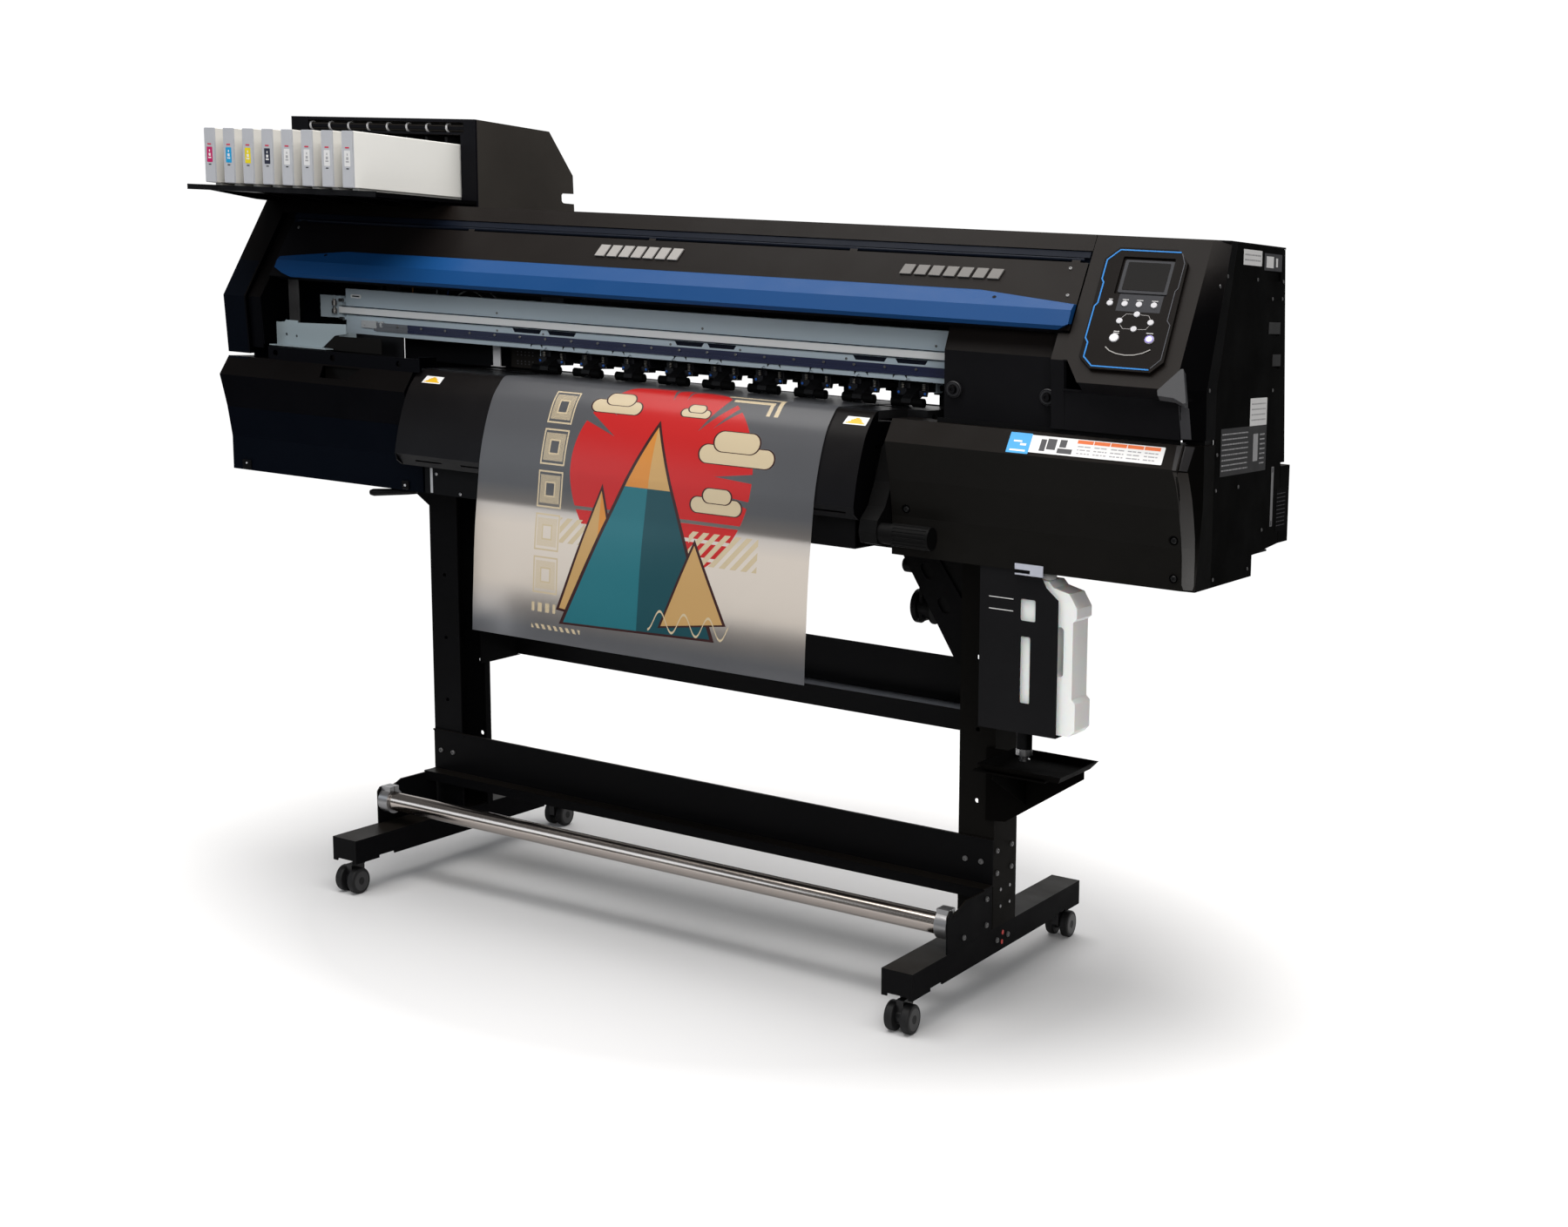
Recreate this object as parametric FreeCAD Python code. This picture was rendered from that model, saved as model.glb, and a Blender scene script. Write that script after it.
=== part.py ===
import FreeCAD, Part
import math
import os

# Wide-format film printer on a wheeled stand. Millimetres, +Z up, front towards -Y, origin on the floor
# under the middle of the machine's bounding box.

# ---------------------------------------------------------------- driving dimensions
HALF_W = 982.0          # half the body's width
SHEET = 3.0             # painted sheet-metal wall
BODY_TOP = 1293.0
BODY_BOTTOM = 763.0
SEAM_Z = 988.0          # joint between upper covers and lower covers
SLOPE_Y, SLOPE_Z = -95.0, 1293.0     # top edge of the slanted front
SLOPE_K = 0.6875        # how far the slanted front comes forward per mm down

FOOT_LEN = 350.0        # half length of a foot
FOOT_W, FOOT_Z0, FOOT_Z1 = 56.0, 62.0, 107.0
LEFT_X, RIGHT_X = -637.0, 582.0      # outer faces of the two posts and feet
POST_W, POST_Y0, POST_Y1 = 67.0, -43.0, 52.0

CASTER_Y, CASTER_TRAIL = 312.0, 18.0
WHEEL_R, WHEEL_W, WHEEL_GAP = 25.0, 15.0, 14.0
STEM_R = 5.5

TUBE_Y, TUBE_Z, TUBE_R = -200.0, 151.0, 18.5

RAIL_Y, RAIL_X0, RAIL_X1 = -60.0, -819.0, 900.0
RAIL_Z0, RAIL_Z1 = 1038.0, 1125.0

PLATEN_Z = 992.0
APRON_X0, APRON_X1 = -519.0, 432.0
FEED_Y, FEED_R = -62.0, 12.0
PINCH_R, PINCH_GAP = 8.0, 2.0
PINCH_COUNT, PINCH_X0, PINCH_STEP = 9, -332.0, 94.0
LIFT_Y, LIFT_Z = 10.0, 1026.0
LEVER_Y, LEVER_Z = -112.0, 958.0

FILM_X0, FILM_X1, FILM_T = -322.0, 361.0, 1.0
FILM_BOTTOM = 540.0

INK_X0, INK_X1 = -982.0, -520.0
INK_TOP = 1458.0
CART_COUNT, CART_X0, CART_STEP, CART_W = 8, -923.0, 48.0, 27.0
CART_Z0, CART_H, CART_Y0, CART_LEN = 1311.0, 100.0, -320.0, 420.0

HINGE_Y, HINGE_Z = -118.0, 1252.0    # axis of the front cover's hinge rod
PANEL_X, PANEL_Z = 862.0, 1180.0     # middle of the control panel on the slanted front
RUN = 0.05              # radial running clearance
V = FreeCAD.Vector


# ---------------------------------------------------------------- helpers
def slope_y(z):
    return SLOPE_Y - SLOPE_K * (SLOPE_Z - z)


def box(x0, x1, y0, y1, z0, z1):
    return Part.makeBox(x1 - x0, y1 - y0, z1 - z0, V(x0, y0, z0))


def wire(points):
    return Part.makePolygon(points + [points[0]])


def prism_x(yz, x0, x1):
    face = Part.Face(wire([V(x0, y, z) for y, z in yz]))
    return face.extrude(V(x1 - x0, 0, 0))


def prism_y(xz, y0, y1):
    face = Part.Face(wire([V(x, y0, z) for x, z in xz]))
    return face.extrude(V(0, y1 - y0, 0))


def cyl(x, y, z, r, length, axis="x"):
    direction = {"x": V(1, 0, 0), "y": V(0, 1, 0), "z": V(0, 0, 1)}[axis]
    return Part.makeCylinder(r, length, V(x, y, z), direction)


def fuse(shapes):
    out = shapes[0]
    if len(shapes) > 1:
        out = out.multiFuse(shapes[1:])
    return out.removeSplitter()


def loft(points_a, points_b):
    return Part.makeLoft([wire(points_a), wire(points_b)], True, True)


def on_panel(shape, x, z, lift=0.0):
    """Lay a shape drawn in XY (thickness +Z) on the slanted front at (x, z)."""
    angle = math.degrees(math.atan2(1.0, SLOPE_K))
    turned = shape.copy()
    turned.Placement = FreeCAD.Placement(V(0, 0, 0), FreeCAD.Rotation(V(1, 0, 0), angle))
    n = V(0, -math.sin(math.radians(angle)), math.cos(math.radians(angle)))
    turned.translate(V(x, slope_y(z), z) + n * lift)
    return turned


def rounded(x0, x1, y0, y1, t, r):
    """Rounded rectangle drawn in XY with thickness t along +Z."""
    plate = Part.makeBox(x1 - x0, y1 - y0, t, V(x0, y0, 0))
    uprights = [e for e in plate.Edges if abs(e.Vertexes[0].Z - e.Vertexes[1].Z) > t / 2]
    return plate.makeFillet(r, uprights)


# ---------------------------------------------------------------- stand
def foot(x0):
    x1 = x0 + FOOT_W
    outer = box(x0, x1, -FOOT_LEN, FOOT_LEN, FOOT_Z0, FOOT_Z1)
    hollow = box(x0 + SHEET, x1 - SHEET, -FOOT_LEN + SHEET, FOOT_LEN - SHEET, FOOT_Z0 - 1, FOOT_Z1 - SHEET)
    shell = outer.cut(hollow)
    mid = (x0 + x1) / 2
    for side in (-1, 1):
        y = side * CASTER_Y
        block = box(x0 + 1, x1 - 1, y - 30, y + 30, FOOT_Z0 + 6, FOOT_Z0 + 18)
        shell = shell.fuse(block)
        shell = shell.cut(cyl(mid, y, FOOT_Z0, STEM_R + RUN, 18.5, "z"))
        notch = box(x0 - 1, x1 + 1, side * 262 - 22, side * 262 + 22, FOOT_Z0 - 1, FOOT_Z0 + 5)
        shell = shell.cut(notch)
        end_notch = box(x0 + 10, x1 - 8, side * 348 - 5, side * 348 + 5, FOOT_Z0 - 1, FOOT_Z0 + 5)
        shell = shell.cut(end_notch)
    return shell.removeSplitter()


def post(outer_x, inward):
    """C-channel with its web on the outside; inward is +1 for the left post, -1 for the right."""
    open_x = outer_x + inward * POST_W
    lo, hi = min(outer_x, open_x), max(outer_x, open_x)
    web = (lo, lo + SHEET) if inward > 0 else (hi - SHEET, hi)
    lip = (hi - SHEET, hi) if inward > 0 else (lo, lo + SHEET)
    parts = [
        box(web[0], web[1], POST_Y0, POST_Y1, FOOT_Z1, BODY_BOTTOM),
        box(lo, hi, POST_Y0, POST_Y0 + SHEET, FOOT_Z1, BODY_BOTTOM),
        box(lo, hi, POST_Y1 - SHEET, POST_Y1, FOOT_Z1, BODY_BOTTOM),
        box(lip[0], lip[1], POST_Y1 - 16, POST_Y1, FOOT_Z1, BODY_BOTTOM),
    ]
    body = fuse(parts)
    mid = (lo + hi) / 2
    for z in (330.0, 455.0, 580.0):
        body = body.cut(cyl(mid, POST_Y0 - 1, z, 4.0, 5, "y"))
    for z in (250.0, 400.0, 560.0):
        body = body.cut(cyl(mid + inward * 12, POST_Y1 - 4, z, 4.5, 5, "y"))
    return body


def lower_crossbar():
    plate = box(LEFT_X, RIGHT_X, -46, POST_Y0, 184, 267)
    shelf = box(LEFT_X, RIGHT_X, -80, POST_Y0, 184, 187)
    lip = box(LEFT_X + 3.5, RIGHT_X - 3.5, -80, -77, 169, 187)
    top_fold = box(LEFT_X, RIGHT_X, -49, -43, 264, 267)
    return fuse([plate, shelf, lip, top_fold])


def rear_crossbeam():
    x0, x1 = LEFT_X + 55, RIGHT_X - 55
    upper = box(x0, x1, 193, 196, 440, 528)
    ledge = box(x0, x1, 140, 196, 440, 443)
    lower = box(x0, x1, 140, 143, 405, 443)
    return fuse([upper, ledge, lower])


def beam_brackets():
    shapes = []
    for edge, inward in ((LEFT_X + POST_W, 1), (RIGHT_X - POST_W, -1)):
        x0, x1 = sorted((edge + inward * 0.3, edge + inward * 3.3))
        plate = prism_x([(20, 400), (60, 400), (150, 402), (139.5, 405), (139.5, 439.5), (139.5, 500), (20, 500)],
                        x0, x1)
        shapes.append(plate)
    return shapes


def roller_plates():
    outline = [(-46.5, 107.2), (-203, 107.2), (-203, 163), (-199, 169), (-184, 174), (-163, 179), (-152, 183.5),
               (-46.5, 183.5)]
    left = prism_x(outline, LEFT_X, LEFT_X + SHEET)
    right = prism_x(outline, RIGHT_X - SHEET, RIGHT_X)
    tongue = [(-203, 107.2), (-222, 107.2), (-222, 170), (-214, 178), (-203, 178)]
    left = left.fuse(prism_x(tongue, LEFT_X, LEFT_X + SHEET)).removeSplitter()
    right = right.fuse(prism_x(tongue, RIGHT_X - SHEET, RIGHT_X)).removeSplitter()
    return [left, right]


def tube_clamp(x0):
    ring = cyl(x0, TUBE_Y, TUBE_Z, TUBE_R + 5.5, 22)
    lug = box(x0, x0 + 22, TUBE_Y - 13, TUBE_Y + 13, TUBE_Z + 10, TUBE_Z + 29)
    body = ring.fuse(lug)
    body = body.cut(cyl(x0 - 1, TUBE_Y, TUBE_Z, TUBE_R + 0.02, 24))
    slit = box(x0 - 1, x0 + 23, TUBE_Y - 1, TUBE_Y + 1, TUBE_Z + 10, TUBE_Z + 30)
    return body.cut(slit).removeSplitter()


def guide_tube():
    length = RIGHT_X - LEFT_X - 2 * SHEET - 2
    outer = cyl(LEFT_X + SHEET + 1, TUBE_Y, TUBE_Z, TUBE_R, length)
    return outer.cut(cyl(LEFT_X + SHEET, TUBE_Y, TUBE_Z, TUBE_R - 2.5, length + 2))


def caster_fork(x, side):
    y = side * CASTER_Y
    wheel_y = y + side * CASTER_TRAIL
    stem = cyl(x, y, FOOT_Z0 - 8, STEM_R, 22, "z")
    collar = cyl(x, y, FOOT_Z0 - 9, 12, 6, "z")
    core = cyl(x - WHEEL_GAP / 2 + 0.5, wheel_y, WHEEL_R, 13, WHEEL_GAP - 1)
    web = box(x - WHEEL_GAP / 2 + 0.5, x + WHEEL_GAP / 2 - 0.5, min(y, wheel_y) - 9, max(y, wheel_y) + 9,
              WHEEL_R, FOOT_Z0 - 7)
    body = fuse([collar, core, web])
    body = body.cut(cyl(x - 20, wheel_y, WHEEL_R, 4 + RUN, 40))
    return body.fuse(stem).removeSplitter()


def caster_wheels(x, side):
    wheel_y = side * (CASTER_Y + CASTER_TRAIL)
    half = WHEEL_GAP / 2
    shapes = [cyl(x - half - WHEEL_W, wheel_y, WHEEL_R, 4, 2 * (half + WHEEL_W))]
    for x0 in (x - half - WHEEL_W, x + half):
        wheel = cyl(x0, wheel_y, WHEEL_R, WHEEL_R, WHEEL_W)
        rims = [e for e in wheel.Edges if e.Curve.TypeId == "Part::GeomCircle"]
        shapes.append(wheel.makeFillet(3, rims))
    return fuse(shapes)


def left_brace():
    gusset = prism_y([(-715, 762.8), (-715, 735), (LEFT_X - 0.3, 684), (LEFT_X - 0.3, 762.8)], 0, SHEET)
    flange = prism_x([(0, 684), (40, 684), (40, 762.8), (0, 762.8)], LEFT_X - 3.3, LEFT_X - 0.3)
    return fuse([gusset, flange])


def right_brace():
    """Diagonal strut with two oval holes from the body's underside to the right post."""
    edge = RIGHT_X - POST_W - 0.3
    outline = [(372, 762.8), (430, 762.8), (edge, 640), (edge, 535), (484, 560), (380, 735)]
    strut = prism_y(outline, 0, SHEET)
    for cx, cz in ((425, 715), (458, 658)):
        hole = Part.makeCylinder(9, 10, V(0, -5, 0), V(0, 1, 0)).fuse(
            Part.makeCylinder(9, 10, V(12, -5, 0), V(0, 1, 0))).fuse(Part.makeBox(12, 10, 18, V(0, -5, -9)))
        hole.rotate(V(0, 0, 0), V(0, 1, 0), 58)
        hole.translate(V(cx, 0, cz))
        strut = strut.cut(hole)
    pad = box(372, 430, 0, 40, 759.8, 762.8)
    return fuse([strut, pad])


def stand_brackets():
    """The bolted sheet brackets of the stand: roller plates, crossbeam brackets and the two braces."""
    return Part.makeCompound(beam_brackets() + roller_plates() + [left_brace(), right_brace()])


# ---------------------------------------------------------------- chassis and rail
def base_frame():
    bottom = box(-978, 957, -150, 59, BODY_BOTTOM, BODY_BOTTOM + SHEET)
    corner = box(957, 978, -139, 59, BODY_BOTTOM, BODY_BOTTOM + SHEET)
    rear_wall = box(-978, 978, 56, 59, BODY_BOTTOM, 799)
    rear_floor = box(-978, 978, 56, 150, 796, 799)
    core = fuse([box(-512, 398, -90, 40, 766, 960), box(398, 468, -85, 40, 766, 960)])
    core = core.cut(box(-509, 395, -87, 37, 769, 957)).cut(box(395, 465, -82, 37, 769, 957))
    front_strip = box(-500, 403, -218, -215, 763, 812)
    front_floor = box(-500, 403, -218, -150, 763, 766)
    uprights = [
        box(-905, -880, 10, 40, 799, 1285),
        box(-819, -800, 2, 40, 799, 1120),
        box(880, 900, 2, 40, 799, 1120),
        box(-905, 900, 100, 103, 1062, 1120),
        box(-905, -880, 40, 103, 1062, 1120),
        box(880, 900, 40, 103, 1062, 1120),
        box(-978, 978, 56, 59, 799, 960),
        box(-905, -800, 20, 59, 799, 830),
        box(880, 900, 20, 59, 799, 830),
    ]
    return fuse([bottom, corner, rear_wall, rear_floor, core, front_strip, front_floor] + uprights)


def rail_beam():
    beam = box(RAIL_X0, RAIL_X1, RAIL_Y, 0, RAIL_Z0, RAIL_Z1)
    beam = beam.cut(box(RAIL_X0 - 1, RAIL_X1 + 1, RAIL_Y + 4, -4, RAIL_Z0 + 4, RAIL_Z1 - 4))
    lip = box(RAIL_X0, RAIL_X1, RAIL_Y - 5, RAIL_Y, 1086, 1089)
    foot_lip = box(RAIL_X0 + 60, RAIL_X1, RAIL_Y - 3, RAIL_Y, RAIL_Z0, RAIL_Z0 + 7)
    feet = [box(RAIL_X0, RAIL_X0 + 19, 0, 2, 1050, 1110), box(RAIL_X1 - 20, RAIL_X1, 0, 2, 1050, 1110)]
    lugs = [box(x, x + 8, -6, 17, 1018, 1041) for x in (-388, 438)]
    body = fuse([beam, lip, foot_lip] + feet + lugs)
    body = body.cut(cyl(-390, LIFT_Y, LIFT_Z, 5 + RUN, 840))
    for i in range(9):
        x = PINCH_X0 + i * PINCH_STEP
        body = body.cut(prism_y([(x - 6, RAIL_Z0 - 1), (x + 6, RAIL_Z0 - 1), (x, RAIL_Z0 + 5)], RAIL_Y - 4, RAIL_Y + 1))
    return body


def end_block():
    """Idler housing at the left end of the rail."""
    block = box(-880, -826, -66, -20, 1067, 1110)
    fork_top = box(-826, -819, -66, -30, 1098, 1106)
    fork_low = box(-826, -819, -66, -30, 1064, 1070)
    arm = box(-880, -860, -20, 9.7, 1067, 1110)
    return fuse([block, fork_top, fork_low, arm])


def linear_guide():
    bar = box(-745, 890, RAIL_Y - 6, RAIL_Y, 1047, 1063)
    return bar.cut(box(-746, 891, RAIL_Y - 7, RAIL_Y - 4.6, 1053, 1057))


def carriage():
    head = box(620, 840, -140, -84, 997, 1044)
    upper = box(620, 840, -140, -72, 1040, 1132)
    hook = box(650, 810, -140, -8, 1130, 1138)
    body = fuse([head, upper, hook])
    bevel = prism_x([(-141, 1100), (-141, 1140), (-115, 1140)], 619, 841)
    body = body.cut(bevel)
    for i in range(2):
        x = 650 + i * 95
        body = body.cut(box(x, x + 65, -141, -137, 1010, 1080))
    return body


def platen():
    x0, x1 = APRON_X0 + 4, 468
    front = box(x0, 431, -191.5, FEED_Y - FEED_R - 2, 978, PLATEN_Z)
    rear = box(x0, x1, FEED_Y + FEED_R + 2, 55, 978, PLATEN_Z)
    ends = [box(x0, -486, -140, 55, 960, PLATEN_Z), box(426, x1, -86, 55, 960, PLATEN_Z)]
    body = fuse([front, rear] + ends)
    bore = cyl(x0 - 1, FEED_Y, PLATEN_Z - FEED_R, 6 + RUN, x1 - x0 + 2)
    grooves = [box(-470, 415, y, y + 3, PLATEN_Z - 1.5, PLATEN_Z + 1) for y in (-175, -150, -118, -98)]
    body = body.cut(bore)
    for g in grooves:
        body = body.cut(g)
    return body


def feed_roller():
    z = PLATEN_Z - FEED_R
    return fuse([cyl(-480, FEED_Y, z, FEED_R, 900), cyl(-513, FEED_Y, z, 6, 980)])


def pinch_arms():
    shapes = [cyl(-390, LIFT_Y, LIFT_Z, 5, 838)]
    roll_z = PLATEN_Z + PINCH_GAP + PINCH_R
    for i in range(PINCH_COUNT):
        x = PINCH_X0 + i * PINCH_STEP
        arm = prism_x([(16, 1018), (16, 1034), (-20, 1033), (-58, 1016), (-70, 1008), (-72, 1001), (-66, 997.5),
                       (-58, 997.5), (-40, 1006), (-10, 1017)], x - 9, x + 9)
        arm = arm.cut(cyl(x - 10, FEED_Y, roll_z, 3 + RUN, 20))
        shapes.append(arm)
    return fuse(shapes)


def pinch_rollers():
    roll_z = PLATEN_Z + PINCH_GAP + PINCH_R
    solids = []
    for i in range(PINCH_COUNT):
        x = PINCH_X0 + i * PINCH_STEP
        solids.append(fuse([
            cyl(x - 30, FEED_Y, roll_z, 3, 60),
            cyl(x - 30, FEED_Y, roll_z, PINCH_R, 20),
            cyl(x + 10, FEED_Y, roll_z, PINCH_R, 20),
        ]))
    return Part.makeCompound(solids)


# ---------------------------------------------------------------- media path
APRON_CURVE = [(-193.7, 991.2), (-204, 987.4), (-217, 976), (-234.5, 956.5), (-249, 930), (-260, 904), (-270, 874.5),
               (-276, 851), (-278.7, 838.5)]


def apron_points(offset):
    """The apron's front profile moved back by offset along its own normal."""
    out = []
    last = len(APRON_CURVE) - 1
    for i, (y, z) in enumerate(APRON_CURVE):
        a, b = APRON_CURVE[max(i - 1, 0)], APRON_CURVE[min(i + 1, last)]
        dy, dz = b[0] - a[0], b[1] - a[1]
        n = math.hypot(dy, dz)
        out.append((y - dz / n * offset, z + dy / n * offset))
    return out


def curved_sheet(front, back, x0, x1):
    """Extrude the band between two smooth (y, z) curves from x0 to x1."""
    a = [V(x0, y, z) for y, z in front]
    b = [V(x0, y, z) for y, z in reversed(back)]
    spline_a, spline_b = Part.BSplineCurve(), Part.BSplineCurve()
    spline_a.interpolate(a)
    spline_b.interpolate(b)
    edges = [spline_a.toShape(), Part.makeLine(a[-1], b[0]), spline_b.toShape(), Part.makeLine(b[-1], a[0])]
    return Part.Face(Part.Wire(edges)).extrude(V(x1 - x0, 0, 0))


def apron():
    front = apron_points(0.0)
    back = apron_points(SHEET)
    skin = curved_sheet(front, back, APRON_X0, APRON_X1)
    cheek_outline = front + [(-275, 826), (-262, 818), (-244, 816), (-204, 820), (-204, 945), (-194, 960)]
    left = prism_x(cheek_outline, APRON_X0, APRON_X0 + SHEET)
    right = prism_x(cheek_outline, APRON_X1 - SHEET, APRON_X1)
    hem = prism_x([(-278.7, 838.5), (-275.7, 838.5), (-258, 820), (-250, 820), (-250, 817), (-259.5, 817)],
                  APRON_X0, APRON_X1)
    pin = cyl(APRON_X1 - 1, LEVER_Y, LEVER_Z, 8, 36)
    ear = box(APRON_X1 - SHEET, APRON_X1, -206, -95, 935, 973)
    body = fuse([skin, left, right, hem, ear, pin])
    for i in range(9):
        x = APRON_X0 + 40 + i * 104
        body = body.cut(box(x, x + 60, -274, -264, 826, 829))
    return body


def clamp_lever():
    arm = prism_x([(-95, 962), (-100, 973), (-115, 978), (-150, 968), (-190, 930), (-212, 880), (-236, 840),
                   (-262, 820), (-268, 800), (-262, 782), (-240, 778), (-226, 790), (-205, 830), (-185, 885),
                   (-160, 920), (-125, 940), (-100, 945)], 436, 467.5)
    arm = arm.cut(cyl(430, LEVER_Y, LEVER_Z, 8 + RUN, 50))
    pocket = prism_x([(-150, 958), (-182, 925), (-203, 876), (-216, 850), (-200, 860), (-170, 915)], 442, 461)
    arm = arm.cut(pocket)
    collar = cyl(450, -248, 799, 17, 40)
    grip = cyl(489, -248, 799, 19, 69)
    for k in range(18):
        a = 2 * math.pi * k / 18
        grip = grip.cut(cyl(495, -248 + 19.6 * math.cos(a), 799 + 19.6 * math.sin(a), 1.6, 60))
    return fuse([arm, collar, grip])


def media_film():
    """One sheet lying on the platen, bending over the apron and hanging straight down in front."""
    top = PLATEN_Z + 0.5
    outer = [(54, top + FILM_T), (-60, top + FILM_T), (-193, top + FILM_T)]
    inner = [(54, top), (-60, top), (-192.6, top)]
    inner += apron_points(-1.8)[1:] + [(-285, 808), (-297, 734), (-306, 640), (-313, FILM_BOTTOM)]
    outer += apron_points(-1.8 - FILM_T)[1:] + [(-286, 808), (-298, 734), (-307, 640), (-314, FILM_BOTTOM)]
    a, b = [V(FILM_X0, y, z) for y, z in outer], [V(FILM_X0, y, z) for y, z in reversed(inner)]
    face = Part.Face(Part.makePolygon(a + b + [a[0]]))
    return face.extrude(V(FILM_X1 - FILM_X0, 0, 0))


# ---------------------------------------------------------------- upper covers
def top_cover():
    x0, x1 = -924.5, 765.5
    strip = [(slope_y(1267), 1267), (SLOPE_Y, BODY_TOP), (184, BODY_TOP), (209, 1062), (206, 1062), (181, 1290),
             (SLOPE_Y + 2, 1290), (slope_y(1267) + 13, 1262), (slope_y(1247) + 13, 1247), (slope_y(1247) + 11.5, 1246),
             (slope_y(1265) + 10.5, 1265)]
    return prism_x(strip, x0, x1).cut(box(x0 - 1, -896.5, -130, -98, 1240, 1264.9))


def end_profile():
    return [(184, BODY_TOP), (SLOPE_Y, BODY_TOP), (-227, 1101), (-219, 991.5)]


def left_end_cover():
    side = prism_x(end_profile() + [(-150, 991.5), (-150, 965), (218, 965)], -HALF_W, -HALF_W + SHEET)
    front = prism_x([(SLOPE_Y, BODY_TOP), (-227, 1101), (-219, 991.5), (-216, 991.5), (-224, 1101.5),
                     (SLOPE_Y + 3.4, 1290)], -HALF_W, -925)
    top = box(-HALF_W, -925, SLOPE_Y + 1, 184, 1290, BODY_TOP)
    rear = prism_x([(184, BODY_TOP), (218, 965), (215, 965), (181, BODY_TOP)], -HALF_W, -925)
    inner = prism_x([(SLOPE_Y + 10, 1284), (-218, 1101), (-211, 1004), (-208, 1004), (-215, 1101),
                     (SLOPE_Y + 14, 1284)], -927, -897)
    web = prism_x([(SLOPE_Y, 1290), (-224, 1101), (-216, 992), (-205, 992), (-213, 1101), (SLOPE_Y + 14, 1290)],
                  -928, -925)
    cheek = prism_x([(-190, 1140), (-218, 1101), (-211, 1012), (-100, 1012), (-100, 1140)], -897, -894)
    return fuse([side, front, top, rear, inner, web, cheek])


def housing_points(inset):
    k = inset
    return [(SLOPE_Y + 0.7 * k, BODY_TOP - k), (-250 + 1.3 * k, 1067 + 0.1 * k), (-222 + 0.2 * k, 1050 + 0.6 * k),
            (-219 + k, 991.5)]


def right_housing():
    """Front housing that carries the control panel, with a chamfered outer corner."""
    outer, inner = housing_points(0), housing_points(SHEET)
    front = prism_x(outer + list(reversed(inner)), 766.5, 954)
    corner_cut = prism_y([(760, 1040), (760, 1099), (774, 1099), (800, 1066), (800, 1040)], -262, -226)
    front = front.cut(corner_cut)
    top = box(766.5, HALF_W, SLOPE_Y + 2, 184, 1290, BODY_TOP)
    edge_a = [(-60, BODY_TOP), (-140, 1067), (-140, 1050), (-140, 991.5)]
    edge_b = [(-88, BODY_TOP), (-186, 1067), (-186, 1050), (-183, 991.5)]
    out_a = [V(954, y, z) for y, z in outer + list(reversed(edge_a))]
    out_b = [V(HALF_W, y, z) for y, z in edge_b + list(reversed(edge_a))]
    solid = loft(out_a, out_b)
    inn_a = [V(953.5, y, z) for y, z in [(-92, 1289), (-245, 1068), (-218, 1048), (-215.5, 991)]
             + [(-139, 991), (-139, 1050), (-139, 1067), (-59, 1289)]]
    inn_b = [V(HALF_W - SHEET, y, z) for y, z in [(-88, 1289), (-185, 1068), (-184, 1048), (-181, 991)]
             + [(-139, 991), (-139, 1050), (-139, 1067), (-59, 1289)]]
    hollow = loft(inn_a, inn_b)
    corner = solid.cut(hollow)
    rear = prism_x([(184, BODY_TOP), (209, 1062), (206, 1062), (181, BODY_TOP)], 766.5, HALF_W - SHEET)
    jamb = prism_x([(SLOPE_Y + 8, 1280), (-222, 1098), (-214, 1000), (-150, 1000), (-150, 1098)], 766.5, 769.5)
    return fuse([front, top, corner, rear, jamb])


def right_side_panel():
    outline = [(-59.5, 1289.5), (181, 1289.5), (218, 941), (197, 941), (197, 806), (150, 803), (59, 797),
               (59, BODY_BOTTOM), (-139.5, BODY_BOTTOM), (-139.5, 1067)]
    panel = prism_x(outline, HALF_W - SHEET, HALF_W)
    for y0, y1, z0, z1 in ((118, 160, 1150, 1173), (132, 170, 1097, 1120), (78, 160, 1238, 1252)):
        panel = panel.cut(box(HALF_W - 1.5, HALF_W + 1, y0, y1, z0, z1))
    return panel


def rear_box():
    """Electrical box at the rear right with the power inlet and sockets."""
    body = box(560, HALF_W, 199, 250, 806, 935)
    body = body.cut(box(563, HALF_W - 3, 196, 247, 809, 932))
    body = body.cut(box(700, 900, 246, 251, 905, 925))
    body = body.cut(box(588, 642, 248, 251, 824, 870)).cut(box(598, 632, 246, 251, 833, 861))
    bridge = box(563, HALF_W - 3.5, 150.3, 199, 806, 809)
    return fuse([body, bridge])


def rear_panel():
    """Lower rear sheet between the chassis floor and the media entry."""
    return prism_x([(149, 796), (200, 812), (221, 941), (221, 960), (218, 960), (218, 941), (197.5, 815), (149, 799)],
                   -HALF_W + 0.2, 559)


def lower_cover(x0, x1, left_wall, right_wall):
    outer = [(-150, SEAM_Z - 4), (-219, SEAM_Z - 4), (-246, 948), (-229, 887), (-218, 827), (-218, BODY_BOTTOM),
             (-150.5, BODY_BOTTOM)]
    inner = [(-149, SEAM_Z - 7), (-217.6, SEAM_Z - 7), (-242.6, 947.4), (-226, 886.5), (-215, 827),
             (-215, BODY_BOTTOM + 3), (-149, BODY_BOTTOM + 3)]
    body = prism_x(outer, x0, x1)
    cut0 = x0 + (SHEET if left_wall else -1)
    cut1 = x1 - (SHEET if right_wall else -1)
    return body.cut(prism_x(inner, cut0, cut1))


def lower_left_cover():
    cover = lower_cover(-HALF_W, -521, True, True)
    back = box(-HALF_W, -HALF_W + SHEET, -152, 56, BODY_BOTTOM, 964)
    grip = prism_y([(-733, 959), (-668, 959), (-648, 981), (-738, 981)], -250, -216)
    sill = box(-878, -505, -219, -213, 984.5, 1009)
    for x in (-860, -716, -555):
        sill = sill.cut(cyl(x, -220, 997, 6, 10, "y"))
    web = box(-878, -521, -219, -213, 981, 985)
    end = box(-508, -505, -219, -170, 994, 1013)
    tab = box(-522, -505, -218, -215, BODY_BOTTOM, 812)
    return fuse([cover.cut(grip), back, sill, web, end, tab])


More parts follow.
